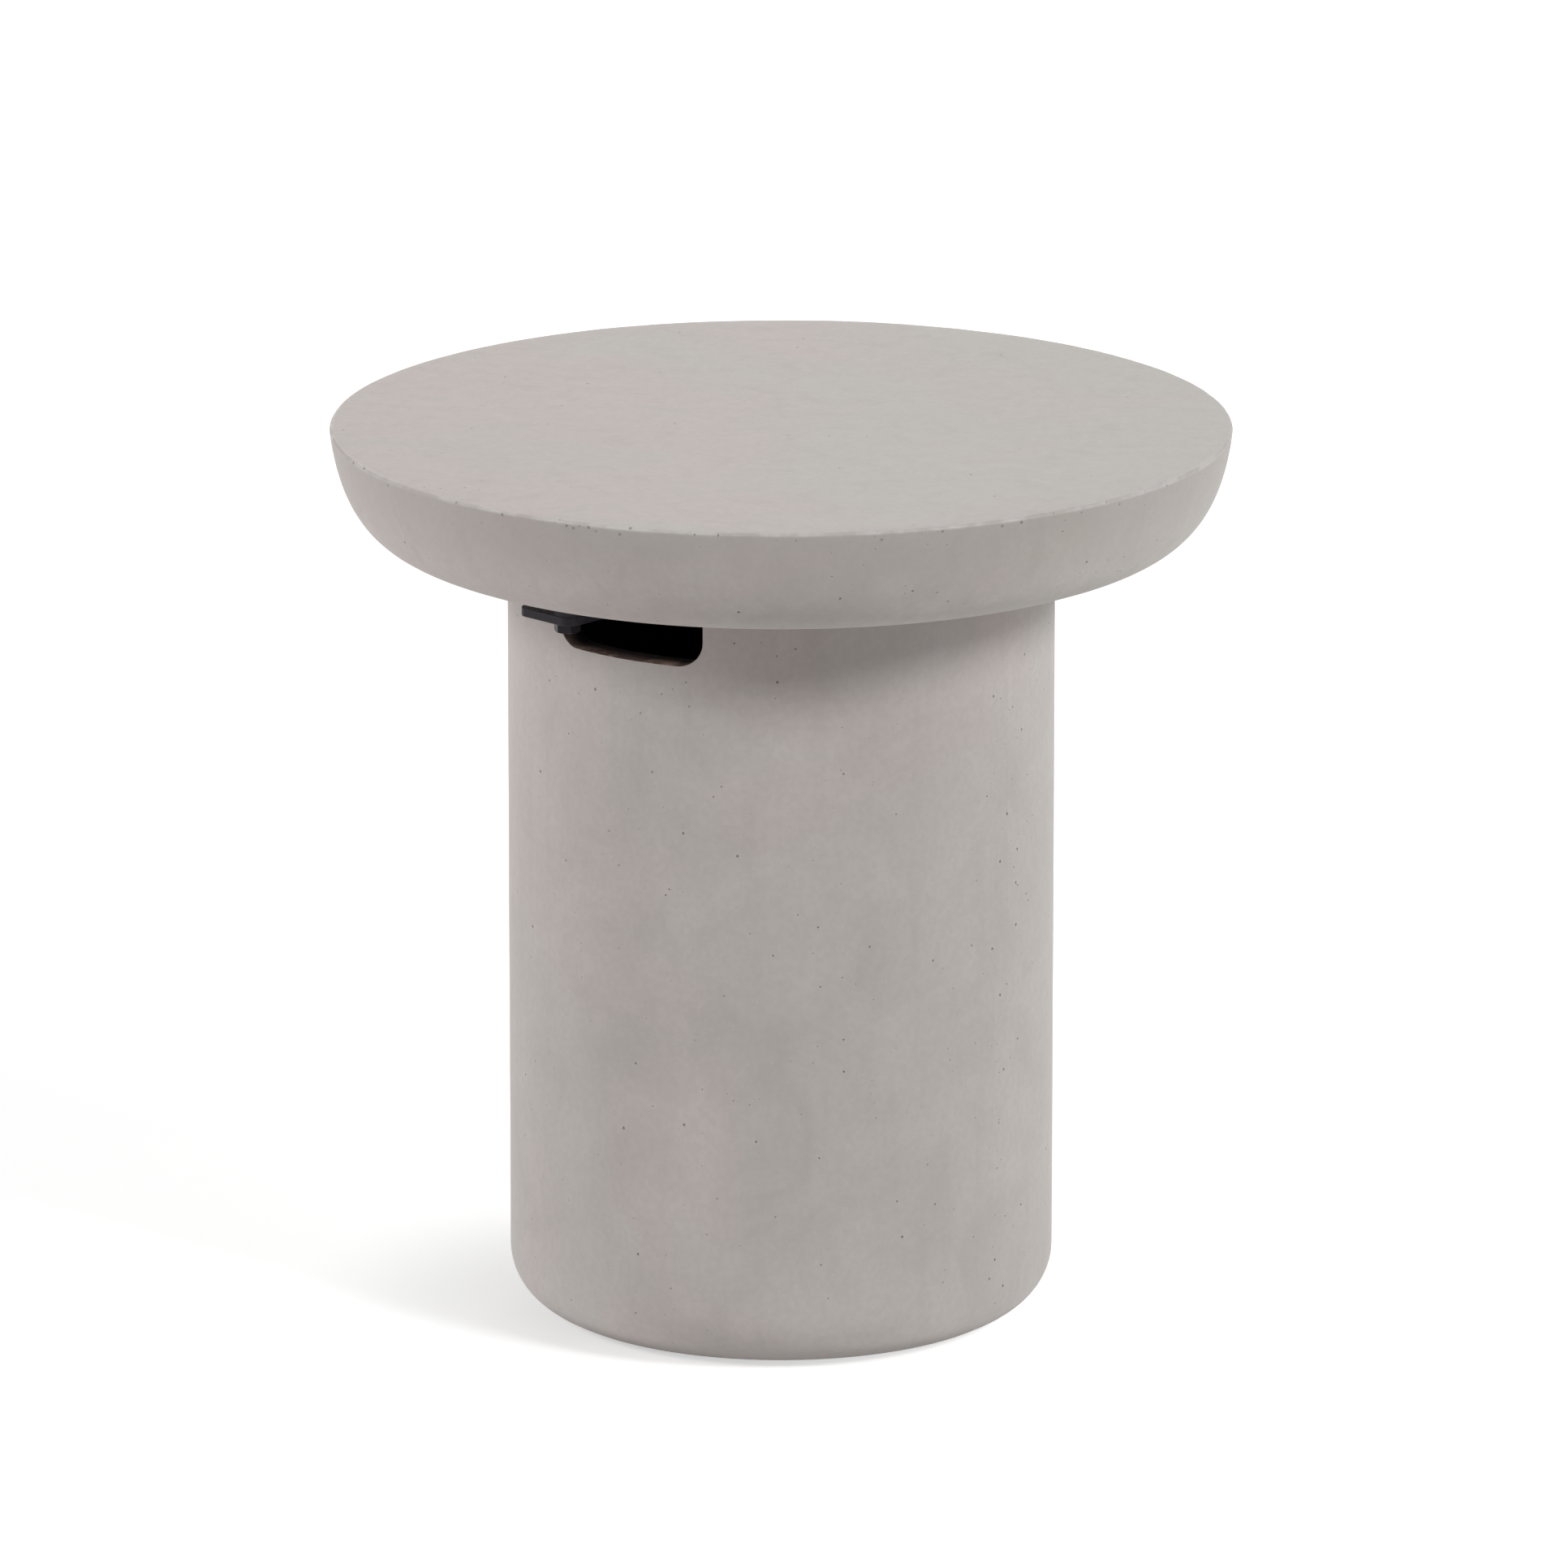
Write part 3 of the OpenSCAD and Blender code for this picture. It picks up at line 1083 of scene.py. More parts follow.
@dataclass
class Tabletop:
    """The cast tabletop: a thick dish with a low spigot below and sockets for two inserts.

    Its rim is chipped in clusters round the turns in worn_spots, in degrees. The fields that end
    in _mm are half sizes or drops in millimetres, each a range or a spread to draw from.
    """

    rim_edge: float = 2.0 * MM
    flat_radius: float = 196.0 * MM
    side_lean: float = 7.5
    side_pull: float = 29.0 * MM
    flat_pull: float = 40.0 * MM
    spigot_radius: float = 133.0 * MM
    spigot_edge: float = 1.5 * MM
    socket_gap: float = 0.1 * MM
    socket_radius: float = 7.0 * MM
    socket_depth: float = 30.0 * MM
    collar_flats: float = 20.0 * MM
    collar: float = 4.0 * MM
    ring_step: float = 4.0 * MM
    under_step: float = 8.0 * MM
    spigot_step: float = 16.0 * MM
    edge_steps: int = 4
    rim_steps: int = 6
    bowl_steps: int = 36
    hollow_cell: float = 0.085
    hollow_depth: float = 0.45 * MM
    ragged_cell: float = 0.008
    ragged_depth: float = 0.25 * MM
    ragged_zone: float = 5.0 * MM
    worn_spots: tuple[float, ...] = (-80, -70, -61, -5, 4, 38, 97, 121, 160, 203, 232)
    worn_spread: float = 3.5
    seed: int = 33
    chips_each: int = 6
    chip_mm: Point = (0.5, 1.3)
    chip_drop_mm: float = 1.6
    chip_flatness: Point = (0.5, 0.9)
    chip_sink: float = 0.1 * MM
    pit_count: int = 110
    pit_mm: Point = (0.35, 0.8)
    pit_zone: Point = (0.35, 0.97)

    def __post_init__(self) -> None:
        """Reads the tabletop's place from the frame."""
        low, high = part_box("tabletop")
        self.low, self.radius, self.high = low.z, high.x, high.z
        self.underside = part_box("rim_gasket")[1].z
        side = math.radians(self.side_lean)
        low = Vector((self.flat_radius, self.underside))
        high = Vector((self.radius, self.high - self.rim_edge))
        draw = high - self.side_pull * Vector((math.sin(side), math.cos(side)))
        self.bowl = (low, low + Vector((self.flat_pull, 0)), draw, high)

    def build(self) -> None:
        """Models the tabletop and hands it over."""
        piece = turned("tabletop_casting", self._outline(), CASTING_SIDES)
        self._settle_face(piece)
        self._sockets(piece)
        self._wear(piece)
        smooth(piece)
        hand_over(piece, TABLETOP_SKIN, "tabletop")

    def _outline(self) -> Outline:
        """Draws the half outline from the spigot round the bowl to the face's middle.

        Returns:
            The outline, from the axis back to the axis.
        """
        outline = Outline().to(0, self.low)
        outline.run(self.spigot_radius - self.spigot_edge, self.low, self.spigot_step)
        centre = (self.spigot_radius - self.spigot_edge, self.low + self.spigot_edge)
        outline.arc(centre, self.spigot_edge, -75, 0, self.edge_steps)
        outline.to(self.spigot_radius, self.underside)
        outline.run(self.flat_radius - self.ring_step, self.underside, self.under_step)
        outline.curve(*self.bowl, self.bowl_steps)
        centre = (self.radius - self.rim_edge, self.high - self.rim_edge)
        outline.arc(centre, self.rim_edge, 15, 90, self.rim_steps)
        return outline.run(0, self.high, self.ring_step)

    def _settle_face(self, piece: bpy.types.Object) -> None:
        """Takes the machine-true look off the face, the side and the rim's edge.

        Args:
            piece: The tabletop.
        """
        low, inner = self.high - self.ragged_zone, self.radius - self.ragged_zone
        above = self.underside + 2 * MM
        press(piece, lambda p: p.z > above, self.hollow_cell, self.hollow_depth)
        press(
            piece, lambda p: p.z > low and math.hypot(p.x, p.y) > inner,
            self.ragged_cell, self.ragged_depth,
        )

    def _sockets(self, piece: bpy.types.Object) -> None:
        """Cuts the sockets that the threaded inserts are cast into.

        Args:
            piece: The tabletop.
        """
        joint = ClampJoint()
        for place in Place:
            at = joint.bolt_axis(place)
            end = self.underside + self.socket_depth
            radius = self.socket_radius + self.socket_gap
            carve(piece, rod(at, radius, self.underside - MM, end))
            corner = hexagon_corner(self.collar_flats + 2 * self.socket_gap)
            low, high = end - self.collar - self.socket_gap, end + self.socket_gap
            carve(piece, rod(at, corner, low, high, 6, joint.turn + place.value))

    def _wear(self, piece: bpy.types.Object) -> None:
        """Nicks the rim in clusters and opens the larger pits in the side.

        Args:
            piece: The tabletop.
        """
        draw = random.Random(self.seed)
        spots = []
        for middle in self.worn_spots:
            for _ in range(self.chips_each):
                turn = math.radians(middle + draw.gauss(0, self.worn_spread))
                drop = abs(draw.gauss(0, self.chip_drop_mm)) * MM
                size = draw.uniform(*self.chip_mm) * MM
                out = self.radius - self.chip_sink - drop * math.sin(math.radians(self.side_lean))
                sizes = Vector((size, size, size * draw.uniform(*self.chip_flatness)))
                spots.append((round_at(out, turn, self.high - MM - drop), sizes))
        for _ in range(self.pit_count):
            turn = draw.uniform(0, math.tau)
            at = cubic(draw.uniform(*self.pit_zone), *self.bowl)
            size = draw.uniform(*self.pit_mm) * MM
            spots.append((round_at(at.x, turn, at.y), Vector((size, size, size))))
        pitted(piece, spots, draw)


@dataclass
class Pedestal:
    """The cast pedestal: a bucket with a rounded foot, two grip slots and a drained floor.

    The half sizes of its larger air pits are drawn from pit_mm, in millimetres. A face in a slot
    keeps the outer skin where its normal leans outward by more than the cosine in outward.
    """

    wall: float = 17.0 * MM
    floor: float = 22.0 * MM
    foot_round: float = 32.0 * MM
    inner_round: float = 16.0 * MM
    mouth_edge: float = 1.5 * MM
    drain_radius: float = 11.0 * MM
    drain_edge: float = 1.0 * MM
    slot_width: float = 95.0 * MM
    slot_height: float = 28.0 * MM
    slot_top_corner: float = 2.0 * MM
    slot_top_steps: int = 4
    slot_low_steps: int = 12
    slot_cuts: int = 24
    plug_outside: float = 14.0 * MM
    plug_inside: float = 6.0 * MM
    lip_steps: int = 6
    outer_lip: float = 0.9 * MM
    inner_lip: float = 0.8 * MM
    row_step: float = 6.0 * MM
    under_step: float = 14.0 * MM
    inner_step: float = 18.0 * MM
    foot_steps: int = 14
    inner_steps: int = 8
    edge_steps: int = 4
    seam_width: float = 0.7 * MM
    seam_height: float = 0.16 * MM
    hollow_cell: float = 0.11
    hollow_depth: float = 0.45 * MM
    seed: int = 77
    pit_count: int = 190
    pit_mm: Point = (0.35, 0.75)
    pit_sink: float = 0.15 * MM
    pit_clear: float = 20.0 * MM
    outward: float = 0.75
    glide_gap: float = 0.5 * MM

    def __post_init__(self) -> None:
        """Reads the pedestal's place from the frame."""
        low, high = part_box("pedestal")
        self.foot, self.radius, self.mouth = low.z, high.x, high.z
        self.bore = self.radius - self.wall
        self.slot_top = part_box("clamp_bar")[1].z
        self.slot_middle = self.slot_top - self.slot_height / 2

    def build(self) -> None:
        """Models the pedestal and hands it over."""
        piece = turned("pedestal_casting", self._outline(), CASTING_SIDES)
        self._mould_seams(piece)
        press(piece, self._on_wall, self.hollow_cell, self.hollow_depth)
        for place in Place:
            carve(piece, self._slot_cutter(place))
        self._glide_recesses(piece)
        self._wear(piece)
        smooth(piece)
        self._dress(piece)
        hand_over(piece, PEDESTAL_SKIN, "pedestal")

    def _outline(self) -> Outline:
        """Draws the closed half outline of the floor, the foot, the wall and the mouth.

        Returns:
            The outline, closed.
        """
        edge = self.mouth_edge
        floor = self.foot + self.floor
        outline = Outline().to(self.drain_radius, self.foot + self.drain_edge)
        outline.to(self.drain_radius + self.drain_edge, self.foot)
        outline.run(self.radius - self.foot_round - 2 * MM, self.foot, self.under_step)
        centre = (self.radius - self.foot_round, self.foot + self.foot_round)
        outline.arc(centre, self.foot_round, -90, 0, self.foot_steps)
        outline.run(self.radius, self.mouth - edge - MM, self.row_step)
        outline.arc((self.radius - edge, self.mouth - edge), edge, 0, 90, self.edge_steps)
        outline.arc((self.bore + edge, self.mouth - edge), edge, 90, 180, self.edge_steps)
        outline.run(self.bore, floor + self.inner_round + MM, self.inner_step)
        centre = (self.bore - self.inner_round, floor + self.inner_round)
        outline.arc(centre, self.inner_round, 0, -90, self.inner_steps)
        outline.run(self.drain_radius + self.drain_edge, floor, self.inner_step)
        return outline.to(self.drain_radius, floor - self.drain_edge).closed()

    def _on_wall(self, point: Vector) -> bool:
        """Tells whether a point lies on the outer wall or the foot's rounding.

        Args:
            point: The point.

        Returns:
            True where it does.
        """
        return (
            math.hypot(point.x, point.y) > self.radius - self.foot_round
            and self.foot + 2 * MM < point.z < self.mouth - 3 * MM
            and (point.z < self.foot + self.foot_round
                 or math.hypot(point.x, point.y) > self.radius - 2 * MM)
        )

    def _mould_seams(self, piece: bpy.types.Object) -> None:
        """Raises the hairline ridge that a two-part mould leaves down each side.

        Args:
            piece: The pedestal.
        """
        def on_seam(point: Vector) -> bool:
            """Tells whether a point lies where the mould's halves met."""
            return abs(point.y) < 0.01 * MM and self._on_wall(point)

        choose(piece, Picks.EDGES, on_seam)
        bpy.ops.mesh.bevel(offset=self.seam_width, segments=2, affect="EDGES")
        choose(piece, Picks.POINTS, on_seam)
        out = 1 + self.seam_height / self.radius
        bpy.ops.transform.resize(value=(out, 1, 1), center_override=(0, 0, 0))
        put_down()

    def _slot_cutter(self, place: Place) -> bpy.types.Object:
        """Makes the plug that cuts one grip slot, flared at both lips.

        Two halves are modelled flat, from the plug's ends to the middle of the wall, with their
        distance from the table's axis along Y. They are joined and wrapped round the wall, so
        that the flares follow both faces of the wall.

        Args:
            place: Which of the two slots it cuts.

        Returns:
            The plug.
        """
        middle = (self.radius + self.bore) / 2
        halves = [
            self._half_plug(self.radius + self.plug_outside, self.radius, self.outer_lip, middle),
            self._half_plug(self.bore - self.plug_inside, self.bore, self.inner_lip, middle),
        ]
        plug = join(halves, "slot_plug")
        pick_up(plug)
        bpy.ops.object.mode_set(mode="EDIT")
        bpy.ops.mesh.select_all(action="SELECT")
        bpy.ops.mesh.remove_doubles(threshold=WELD)
        bpy.ops.mesh.fill_holes(sides=0)
        bpy.ops.mesh.normals_make_consistent(inside=False)
        put_down()
        for point in plug.data.vertices:
            point.co.y = -math.sqrt(point.co.y**2 - point.co.x**2)
        plug.rotation_euler = (0, 0, place.value)
        return settle(plug)

    def _half_plug(self, end: float, face: float, lip: float, middle: float) -> bpy.types.Object:
        """Models half of a slot's plug, which narrows round one lip.

        Args:
            end: How far from the axis the half begins, in clear air.
            face: How far from the axis the wall's face lies.
            lip: Radius of the lip at that face.
            middle: How far from the axis the half ends.

        Returns:
            The half, open at both ends.
        """
        inward = 1 if face > middle else -1
        put_down()
        bpy.ops.mesh.primitive_plane_add(
            size=1, location=(0, -end, self.slot_middle), rotation=(-inward * math.pi / 2, 0, 0)
        )
        half = bpy.context.object
        bpy.ops.object.mode_set(mode="EDIT")
        bpy.ops.transform.resize(value=(self.slot_width + 2 * lip, 1, self.slot_height + 2 * lip))
        settle(half, "half_plug")
        top = (1, self.slot_top_corner, self.slot_top_steps)
        bottom = (-1, self.slot_height / 2, self.slot_low_steps)
        for side, corner, steps in (top, bottom):
            choose(half, Picks.POINTS, lambda p: side * (p.z - self.slot_middle) > 0)
            bpy.ops.mesh.bevel(offset=corner + lip, segments=steps, affect="VERTICES")
        reach = self.slot_height / 2 + lip - WELD
        choose(half, Picks.EDGES, lambda p: abs(p.z - self.slot_middle) > reach)
        bpy.ops.mesh.subdivide(number_cuts=self.slot_cuts)
        bpy.ops.mesh.select_mode(type="FACE")
        bpy.ops.mesh.select_all(action="SELECT")
        aside, away = lip, end
        for step in reversed(range(self.lip_steps)):
            turn = math.radians(90 / self.lip_steps * step)
            next_aside = lip * (1 - math.cos(turn))
            next_away = face - inward * lip * (1 - math.sin(turn))
            bpy.ops.mesh.inset(thickness=aside - next_aside, depth=abs(away - next_away))
            aside, away = next_aside, next_away
        step = (0, away - middle, 0)
        bpy.ops.mesh.extrude_region_move(TRANSFORM_OT_translate={"value": step})
        bpy.ops.mesh.delete(type="ONLY_FACE")
        put_down()
        return half

    def _glide_recesses(self, piece: bpy.types.Object) -> None:
        """Cuts the shallow recesses that the glides are set into.

        Args:
            piece: The pedestal.
        """
        glides = FootGlides()
        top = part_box("foot_glides")[1].z
        for at in glides.places():
            carve(piece, rod(at, glides.radius + self.glide_gap, self.foot - MM, top))

    def _wear(self, piece: bpy.types.Object) -> None:
        """Opens the larger air pits in the outer wall.

        Args:
            piece: The pedestal.
        """
        draw = random.Random(self.seed)
        spots = []
        for _ in range(self.pit_count):
            turn = draw.uniform(0, math.tau)
            height = draw.uniform(self.foot + self.foot_round, self.slot_middle - self.pit_clear)
            size = draw.uniform(*self.pit_mm) * MM
            spot = round_at(self.radius - self.pit_sink, turn, height)
            spots.append((spot, Vector((size, size, size))))
        pitted(piece, spots, draw)

    def _dress(self, piece: bpy.types.Object) -> None:
        """Gives the outside its skin, and the hollow and slots a near-black concrete: painted shade,
        lightened towards the slots' outer lips as painted light.

        Args:
            piece: The pedestal.
        """
        for finish in (PEDESTAL_SKIN, SHADED_INNER_CONCRETE):
            piece.data.materials.append(finish.paint())
        for face in piece.data.polygons:
            face.material_index = int(self._gets_painted_shade(face.center, face.normal))

    def _gets_painted_shade(self, point: Vector, normal: Vector) -> bool:
        """Tells whether a face lies in the hollow, or in a slot behind its outer lip.

        Args:
            point: The face's middle.
            normal: The way it faces.

        Returns:
            True where the face gets the painted shade of the hollow and slots.
        """
        away = math.hypot(point.x, point.y)
        above_floor = point.z > self.foot + self.floor - 2 * self.drain_edge
        in_drain = away < self.drain_radius + self.drain_edge
        in_hollow = (
            away < self.bore + self.inner_lip + 2 * MM
            and self.foot + self.drain_edge < point.z < self.mouth - 0.1 * MM
            and (above_floor or in_drain)
        )
        in_slot = (
            point.x * normal.x + point.y * normal.y < self.outward * away
            and abs(point.x) < self.slot_width / 2 + MM
            and abs(point.z - self.slot_middle) < self.slot_height / 2 + MM
        )
        return in_hollow or in_slot


@dataclass
class ClampJoint:
    """The clamp: a flat bar through both slots, bolted up into the tabletop at its ends."""

    bar_width: float = 40.0 * MM
    bar_half: float = 186.0 * MM
    bar_gap: float = 2.5 * MM
    bolt_inset: float = 19.0 * MM
    corner: float = 6.0 * MM
    corner_steps: int = 8
    bar_edge: float = 0.5 * MM
    bolt_radius: float = 4.0 * MM
    hole_gap: float = 0.4 * MM
    head_flats: float = 13.0 * MM
    head_bevel: float = 30.0
    head_land: float = 0.6 * MM
    head_slope: float = 0.3 * MM
    head_dish: float = 0.35 * MM
    shank_bevel: float = 0.8 * MM
    washer_radius: float = 8.0 * MM
    washer_edge: float = 0.2 * MM
    spring_radius: float = 7.4 * MM
    spring_edge: float = 0.15 * MM
    slit: float = 1.28 * MM
    slit_slant: float = 24.0
    sleeve_radius: float = 8.0 * MM
    sleeve_edge: float = 0.4 * MM

    def __post_init__(self) -> None:
        """Turns the bar until its edge lies by the end of the slot that it comes out of."""
        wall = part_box("pedestal")[1].x
        edge = Pedestal.slot_width / 2 - self.bar_gap
        self.turn = math.asin(self.bar_width / 2 / wall) - math.asin(edge / wall)
        self.bolt_reach = self.bar_half - self.bolt_inset

    def bolt_axis(self, place: Place) -> Vector:
        """Gives where a bolt's axis crosses the floor plane."""
        return Matrix.Rotation(self.turn + place.value, 3, "Z") @ Vector((0, -self.bolt_reach, 0))

    def build(self) -> None:
        """Models the clamp's pieces and hands them over."""
        self._bar()
        hole = self.bolt_radius + self.hole_gap
        low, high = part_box("bolt_washers")
        washer = ring("flat_washer", self.washer_radius, hole, low.z, high.z, self.washer_edge)
        self._both_ends(washer, BLACKED, "bolt_washers")
        low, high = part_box("spacer_sleeves")
        sleeve = ring("spacer_sleeve", self.sleeve_radius, hole, low.z, high.z, self.sleeve_edge)
        self._both_ends(sleeve, ZINC, "spacer_sleeves")
        self._both_ends(self._spring_washer(hole), BLACKED, "spring_washers")
        self._both_ends(self._bolt(), BLACKED, "clamp_bolts")
        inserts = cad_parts["threaded_inserts"]
        inserts.data.materials.clear()
        inserts.data.materials.append(BRASS.paint())
        log.info("threaded_inserts: kept from the frame, dressed in brass")

    def _both_ends(self, piece: bpy.types.Object, finish: Finish, node: str) -> None:
        """Copies a piece to both bolts and hands both over.

        Args:
            piece: The piece, modelled on the upright axis.
            finish: Its finish.
            node: The CAD node that the pair stands for.
        """
        smooth(piece)
        name = piece.name
        for place in Place:
            twin = copy_of(piece, f"{name}_{place.name.lower()}")
            twin.location = self.bolt_axis(place)
            twin.rotation_euler = (0, 0, self.turn + place.value)
            settle(twin)
            hand_over(twin, finish, node)
        scrap(piece)

    def _bar(self) -> None:
        """Models the flat bar with its rounded corners, eased edges and bolt holes."""
        low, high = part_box("clamp_bar")
        put_down()
        bpy.ops.mesh.primitive_cube_add(
            size=1, location=(0, 0, (low.z + high.z) / 2),
            scale=(self.bar_width, 2 * self.bar_half, high.z - low.z),
        )
        bar = settle(bpy.context.object, "clamp_flat_bar")
        for across, along in ((-1, -1), (-1, 1), (1, -1), (1, 1)):
            choose(bar, Picks.EDGES, lambda p: across * p.x > self.bar_width / 2 - MM
                   and along * p.y > self.bar_half - MM)
            bpy.ops.mesh.bevel(offset=self.corner, segments=self.corner_steps, affect="EDGES")
        finish_with(bar, "BEVEL", width=self.bar_edge, segments=3, limit_method="ANGLE")
        for reach in (-self.bolt_reach, self.bolt_reach):
            hole = self.bolt_radius + self.hole_gap
            carve(bar, rod(Vector((0, reach, 0)), hole, low.z - MM, high.z + MM))
        bar.rotation_euler = (0, 0, self.turn)
        settle(bar)
        smooth(bar)
        hand_over(bar, PowderCoat(), "clamp_bar")

    def _spring_washer(self, hole: float) -> bpy.types.Object:
        """Models a split spring washer, pressed flat, with its slanted slit.

        Args:
            hole: Radius of its hole.

        Returns:
            The washer on the upright axis.
        """
        low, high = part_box("spring_washers")
        radius = self.spring_radius
        washer = ring("spring_washer", radius, hole, low.z, high.z, self.spring_edge)
        put_down()
        bpy.ops.mesh.primitive_cube_add(
            size=1, location=(radius, 0, (low.z + high.z) / 2),
            rotation=(math.radians(self.slit_slant), 0, 0),
            scale=(1.6 * radius, self.slit, 8 * MM),
        )
        carve(washer, bpy.context.object)
        return washer

    def _bolt(self) -> bpy.types.Object:
        """Models a hexagon bolt that points up, its head's free face bevelled and dished.

        Returns:
            The bolt on the upright axis.
        """
        low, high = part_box("clamp_bolts")
        head_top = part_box("spring_washers")[0].z
        corner = hexagon_corner(self.head_flats)
        head = settle(rod(Vector(), corner, low.z, head_top, 6), "clamp_bolt")
        slack = 0.1 * MM
        face = self.head_flats / 2 - slack
        rise = (corner - face) * math.tan(math.radians(self.head_bevel))
        land = face - self.head_land
        outline = Outline().to(0, low.z + self.head_dish)
        outline.to(land - self.head_slope, low.z + self.head_dish).to(land, low.z)
        outline.to(face, low.z).to(corner + slack, low.z + rise + 0.06 * MM)
        outline.to(corner + slack, head_top + MM).to(0, head_top + MM)
        tool = turned("bevel_tool", outline)
        tool.rotation_euler = (0, 0, math.pi / HARDWARE_SIDES)
        carve(head, tool, keep="INTERSECT")
        root, bevel = head_top - 0.5 * MM, self.shank_bevel
        shank = Outline().to(0, root).to(self.bolt_radius, root)
        shank.to(self.bolt_radius, high.z - bevel).to(self.bolt_radius - bevel, high.z)
        carve(head, turned("shank", shank.to(0, high.z)), keep="UNION")
        return head


@dataclass
class RimGasket:
    """The thin rubber gasket between the mouth and the tabletop, rounded at both edges."""

    wall: float = 12.0 * MM
    edge_steps: int = 4

    def build(self) -> None:
        """Models the gasket and hands it over."""
        low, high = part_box("rim_gasket")
        half, middle = (high.z - low.z) / 2, (low.z + high.z) / 2
        outline = Outline().arc((high.x - half, middle), half, -90, 90, self.edge_steps)
        outline.arc((high.x - self.wall + half, middle), half, 90, 270, self.edge_steps)
        gasket = turned("rim_gasket_ring", outline.closed(), CASTING_SIDES)
        smooth(gasket)
        hand_over(gasket, GASKET_RUBBER, "rim_gasket")


@dataclass
class FootGlides:
    """The rubber glides that the foot stands on, set into shallow recesses."""

    radius: float = 20.0 * MM
    ring_radius: float = 96.0 * MM
    count: int = 4
    bevel: float = 0.9 * MM
    top_bevel: float = 0.4 * MM
    groove: float = 0.5 * MM
    groove_floor: float = 1.0 * MM
    groove_slope: float = 0.4 * MM
    groove_radii: tuple[float, ...] = (6.0 * MM, 11.0 * MM)

    def places(self) -> list[Vector]:
        """Gives the glides' centres, as points on the floor."""
        turns = [(i + 0.5) * math.tau / self.count for i in range(self.count)]
        return [round_at(self.ring_radius, turn) for turn in turns]

    def build(self) -> None:
        """Models one glide with its grooved sole, copies it to each place and hands them over."""
        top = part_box("foot_glides")[1].z
        outline = Outline().to(0, 0)
        for start in self.groove_radii:
            end = start + 2 * self.groove_slope + self.groove_floor
            outline.to(start, 0).to(start + self.groove_slope, self.groove)
            outline.to(end - self.groove_slope, self.groove).to(end, 0)
        outline.to(self.radius - self.bevel, 0).to(self.radius, self.bevel)
        outline.to(self.radius, top - self.top_bevel).to(self.radius - self.top_bevel, top)
        outline.to(0, top)
        glide = turned("foot_glide", outline)
        smooth(glide)
        for number, at in enumerate(self.places(), 1):
            twin = copy_of(glide, f"foot_glide_{number}")
            twin.location = at
            settle(twin)
            hand_over(twin, GLIDE_RUBBER, "foot_glides")
        scrap(glide)


# The studio


@dataclass(frozen=True)
class SoftLamp:
    """A broad, far lamp. Its side is in degrees from the camera's, to the right if positive."""

    name: str
    side: float
    rise: float
    spread: float
    strength: float


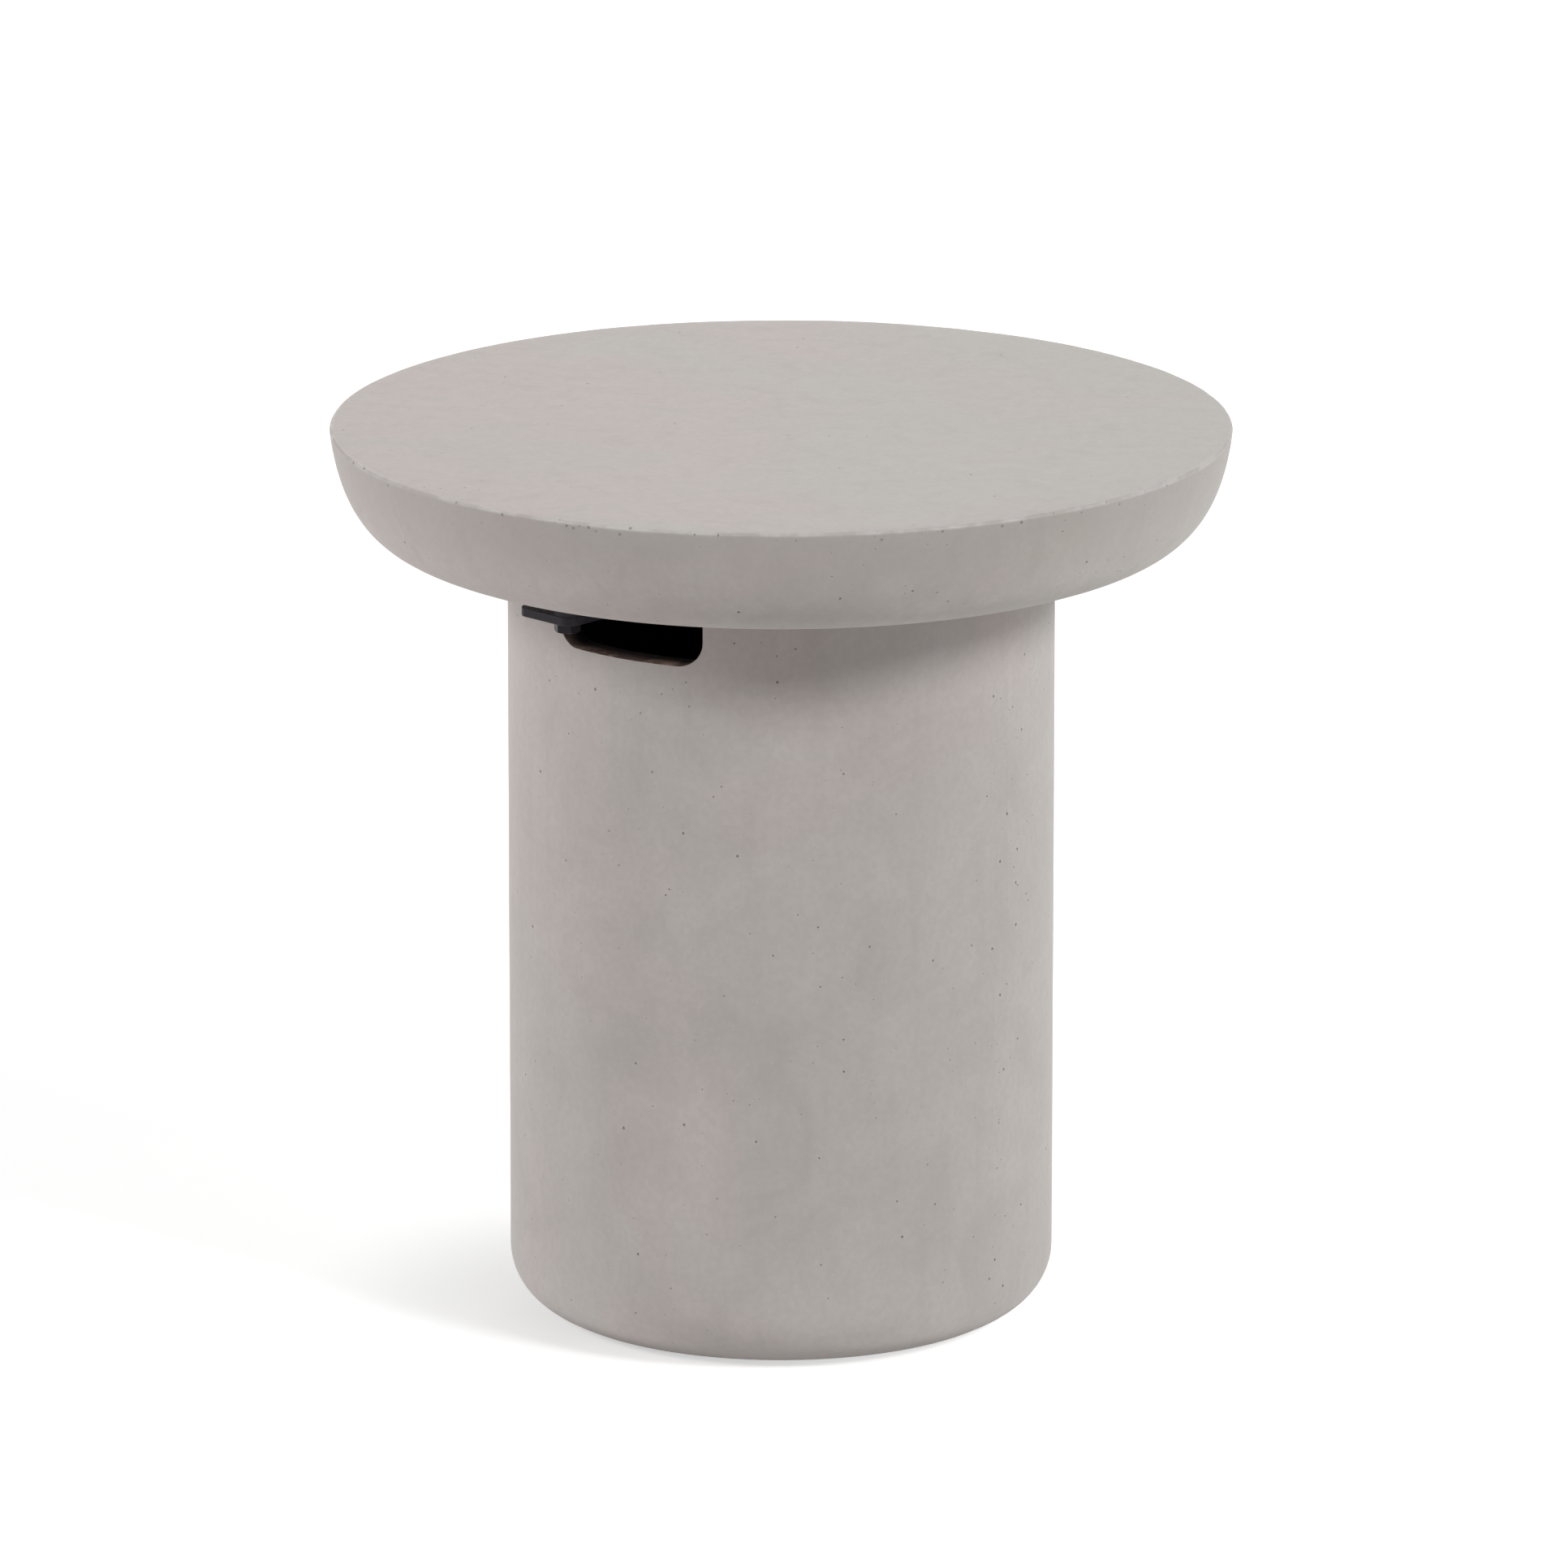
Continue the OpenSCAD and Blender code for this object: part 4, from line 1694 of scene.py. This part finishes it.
@dataclass
class Studio:
    """A plain pale floor, soft lamps and a camera at the photograph's angle."""

    azimuth: float = 34.75
    pitch: float = 15.1233
    distance: float = 7.9933
    height: float = 2.4585
    aside: float = 1.54 * MM
    lens: float = 341.52
    sensor: float = 36.0
    sight: float = 100.0
    floor_radius: float = 12.0
    floor_sides: int = 128
    floor_tone: float = 0.90
    seen_floor_tone: float = 0.68
    # Painted shadow: the floor's glow drops from far_lift to near_lift round near_middle, under the
    # table's left.
    near_lift: float = 0.47
    far_lift: float = 0.725
    near_middle: Triple = (-0.058, -0.040, 0.0)
    near_radius: float = 0.06
    far_radius: float = 0.22
    lamp_distance: float = 3.0
    lamps: tuple[SoftLamp, ...] = (
        SoftLamp("right_key", 55.0, 34.0, 16.0, 1.63),
        SoftLamp("left_key", -55.0, 34.0, 16.0, 0.83),
        SoftLamp("left_side", -85.0, 15.0, 40.0, 1.23),
        SoftLamp("right_side", 85.0, 15.0, 40.0, 0.55),
        SoftLamp("back_right", 110.0, 15.0, 40.0, 0.20),
        SoftLamp("back", 180.0, 15.0, 40.0, 0.67),
    )

    def build(self) -> None:
        """Sets up the camera, the floor, the lamps and the surround."""
        self._camera()
        self._floor()
        self._surround()
        for lamp in self.lamps:
            self._lamp(lamp)
        bpy.context.scene.view_settings.view_transform = "Standard"

    def _camera(self) -> None:
        """Places the camera level with the horizon, pitched down at the table."""
        turn = math.radians(self.azimuth)
        across = Vector((math.cos(turn), math.sin(turn), 0))
        back = Vector((math.sin(turn), -math.cos(turn), 0))
        place = back * self.distance + across * self.aside + Vector((0, 0, self.height))
        data = bpy.data.cameras.new("camera")
        data.lens, data.sensor_width = self.lens, self.sensor
        data.clip_end = self.sight
        camera = bpy.data.objects.new("camera", data)
        camera.location = place
        camera.rotation_euler = (math.radians(90 - self.pitch), 0, turn)
        bpy.context.scene.collection.objects.link(camera)
        bpy.context.scene.camera = camera

    @staticmethod
    def _plain_view(wiring: Wiring) -> bpy.types.NodeSocket:
        """Gives 1 for rays that see the surround straight, in gloss or through glass.

        Args:
            wiring: The wiring of a material or the world.

        Returns:
            The value.
        """
        path = wiring.add("ShaderNodeLightPath", {}).outputs
        seen = wiring.maths("MAXIMUM", path["Is Camera Ray"], path["Is Glossy Ray"])
        return wiring.maths("MAXIMUM", seen, path["Is Transmission Ray"])

    def _floor(self) -> None:
        """Lays the pale floor, which keeps the table's shadow and otherwise reads white.

        Seen from below it is clear, so that it doesn't hide the table's underside. Its glow is
        weaker round a point under the table's left, a painted shadow that deepens the table's real
        shadow there.
        """
        put_down()
        bpy.ops.mesh.primitive_circle_add(
            vertices=self.floor_sides, radius=self.floor_radius, fill_type="NGON",
            location=(0, 0, 0),
        )
        floor = settle(bpy.context.object, "studio_floor")
        material = bpy.data.materials.new("pale_floor")
        material.use_nodes = True
        w = Wiring(material.node_tree)
        shader = material.node_tree.nodes["Principled BSDF"]
        seen = self._plain_view(w)
        under, over = self.floor_tone, self.seen_floor_tone
        tone = w.blend(seen, (under, under, under, 1), (over, over, over, 1))
        w.feed(shader.inputs["Base Color"], tone)
        w.feed(shader.inputs["Roughness"], 1.0)
        w.feed(shader.inputs["Specular IOR Level"], 0.0)
        w.feed(shader.inputs["Emission Color"], WHITE)
        # Painted shadow: weaker glow within far_radius of near_middle darkens the floor by the foot.
        feeds = {0: w.add("ShaderNodeTexCoord", {}).outputs["Object"], 1: self.near_middle}
        away = w.add("ShaderNodeVectorMath", feeds, operation="DISTANCE").outputs["Value"]
        clear = w.band(away, self.near_radius, self.far_radius)
        lift = w.plus(w.times(clear, self.far_lift - self.near_lift), self.near_lift)
        w.feed(shader.inputs["Emission Strength"], w.times(lift, seen))
        from_below = w.add("ShaderNodeNewGeometry", {}).outputs["Backfacing"]
        window = w.add("ShaderNodeBsdfTransparent", {}).outputs[0]
        feeds = {0: w.times(from_below, seen), 1: shader.outputs[0], 2: window}
        surface = w.add("ShaderNodeMixShader", feeds).outputs[0]
        w.feed(material.node_tree.nodes["Material Output"].inputs["Surface"], surface)
        floor.data.materials.append(material)

    def _surround(self) -> None:
        """Surrounds the set with white for the camera, gloss and glass, and no light else."""
        world = bpy.data.worlds.new("surround")
        world.use_nodes = True
        w = Wiring(world.node_tree)
        shader = world.node_tree.nodes["Background"]
        w.feed(shader.inputs["Color"], WHITE)
        w.feed(shader.inputs["Strength"], self._plain_view(w))
        bpy.context.scene.world = world

    def _lamp(self, lamp: SoftLamp) -> None:
        """Hangs one lamp, turned towards the table.

        Args:
            lamp: The lamp.
        """
        data = bpy.data.lights.new(lamp.name, "SUN")
        data.energy = lamp.strength
        data.angle = math.radians(lamp.spread)
        turn, rise = math.radians(self.azimuth + lamp.side), math.radians(lamp.rise)
        towards = Vector(
            (math.sin(turn) * math.cos(rise), -math.cos(turn) * math.cos(rise), math.sin(rise))
        )
        light = bpy.data.objects.new(lamp.name, data)
        light.location = towards * self.lamp_distance
        light.rotation_mode = "QUATERNION"
        light.rotation_quaternion = towards.to_track_quat("Z", "Y")
        bpy.context.scene.collection.objects.link(light)


def main() -> None:
    """Builds the table and its studio."""
    logging.basicConfig(level=logging.INFO, format="%(name)s %(message)s")
    for assembly in (Tabletop(), Pedestal(), ClampJoint(), RimGasket(), FootGlides(), Studio()):
        assembly.build()
        log.info("%s is built", type(assembly).__name__)
    put_down()


if __name__ == "__main__":
    main()
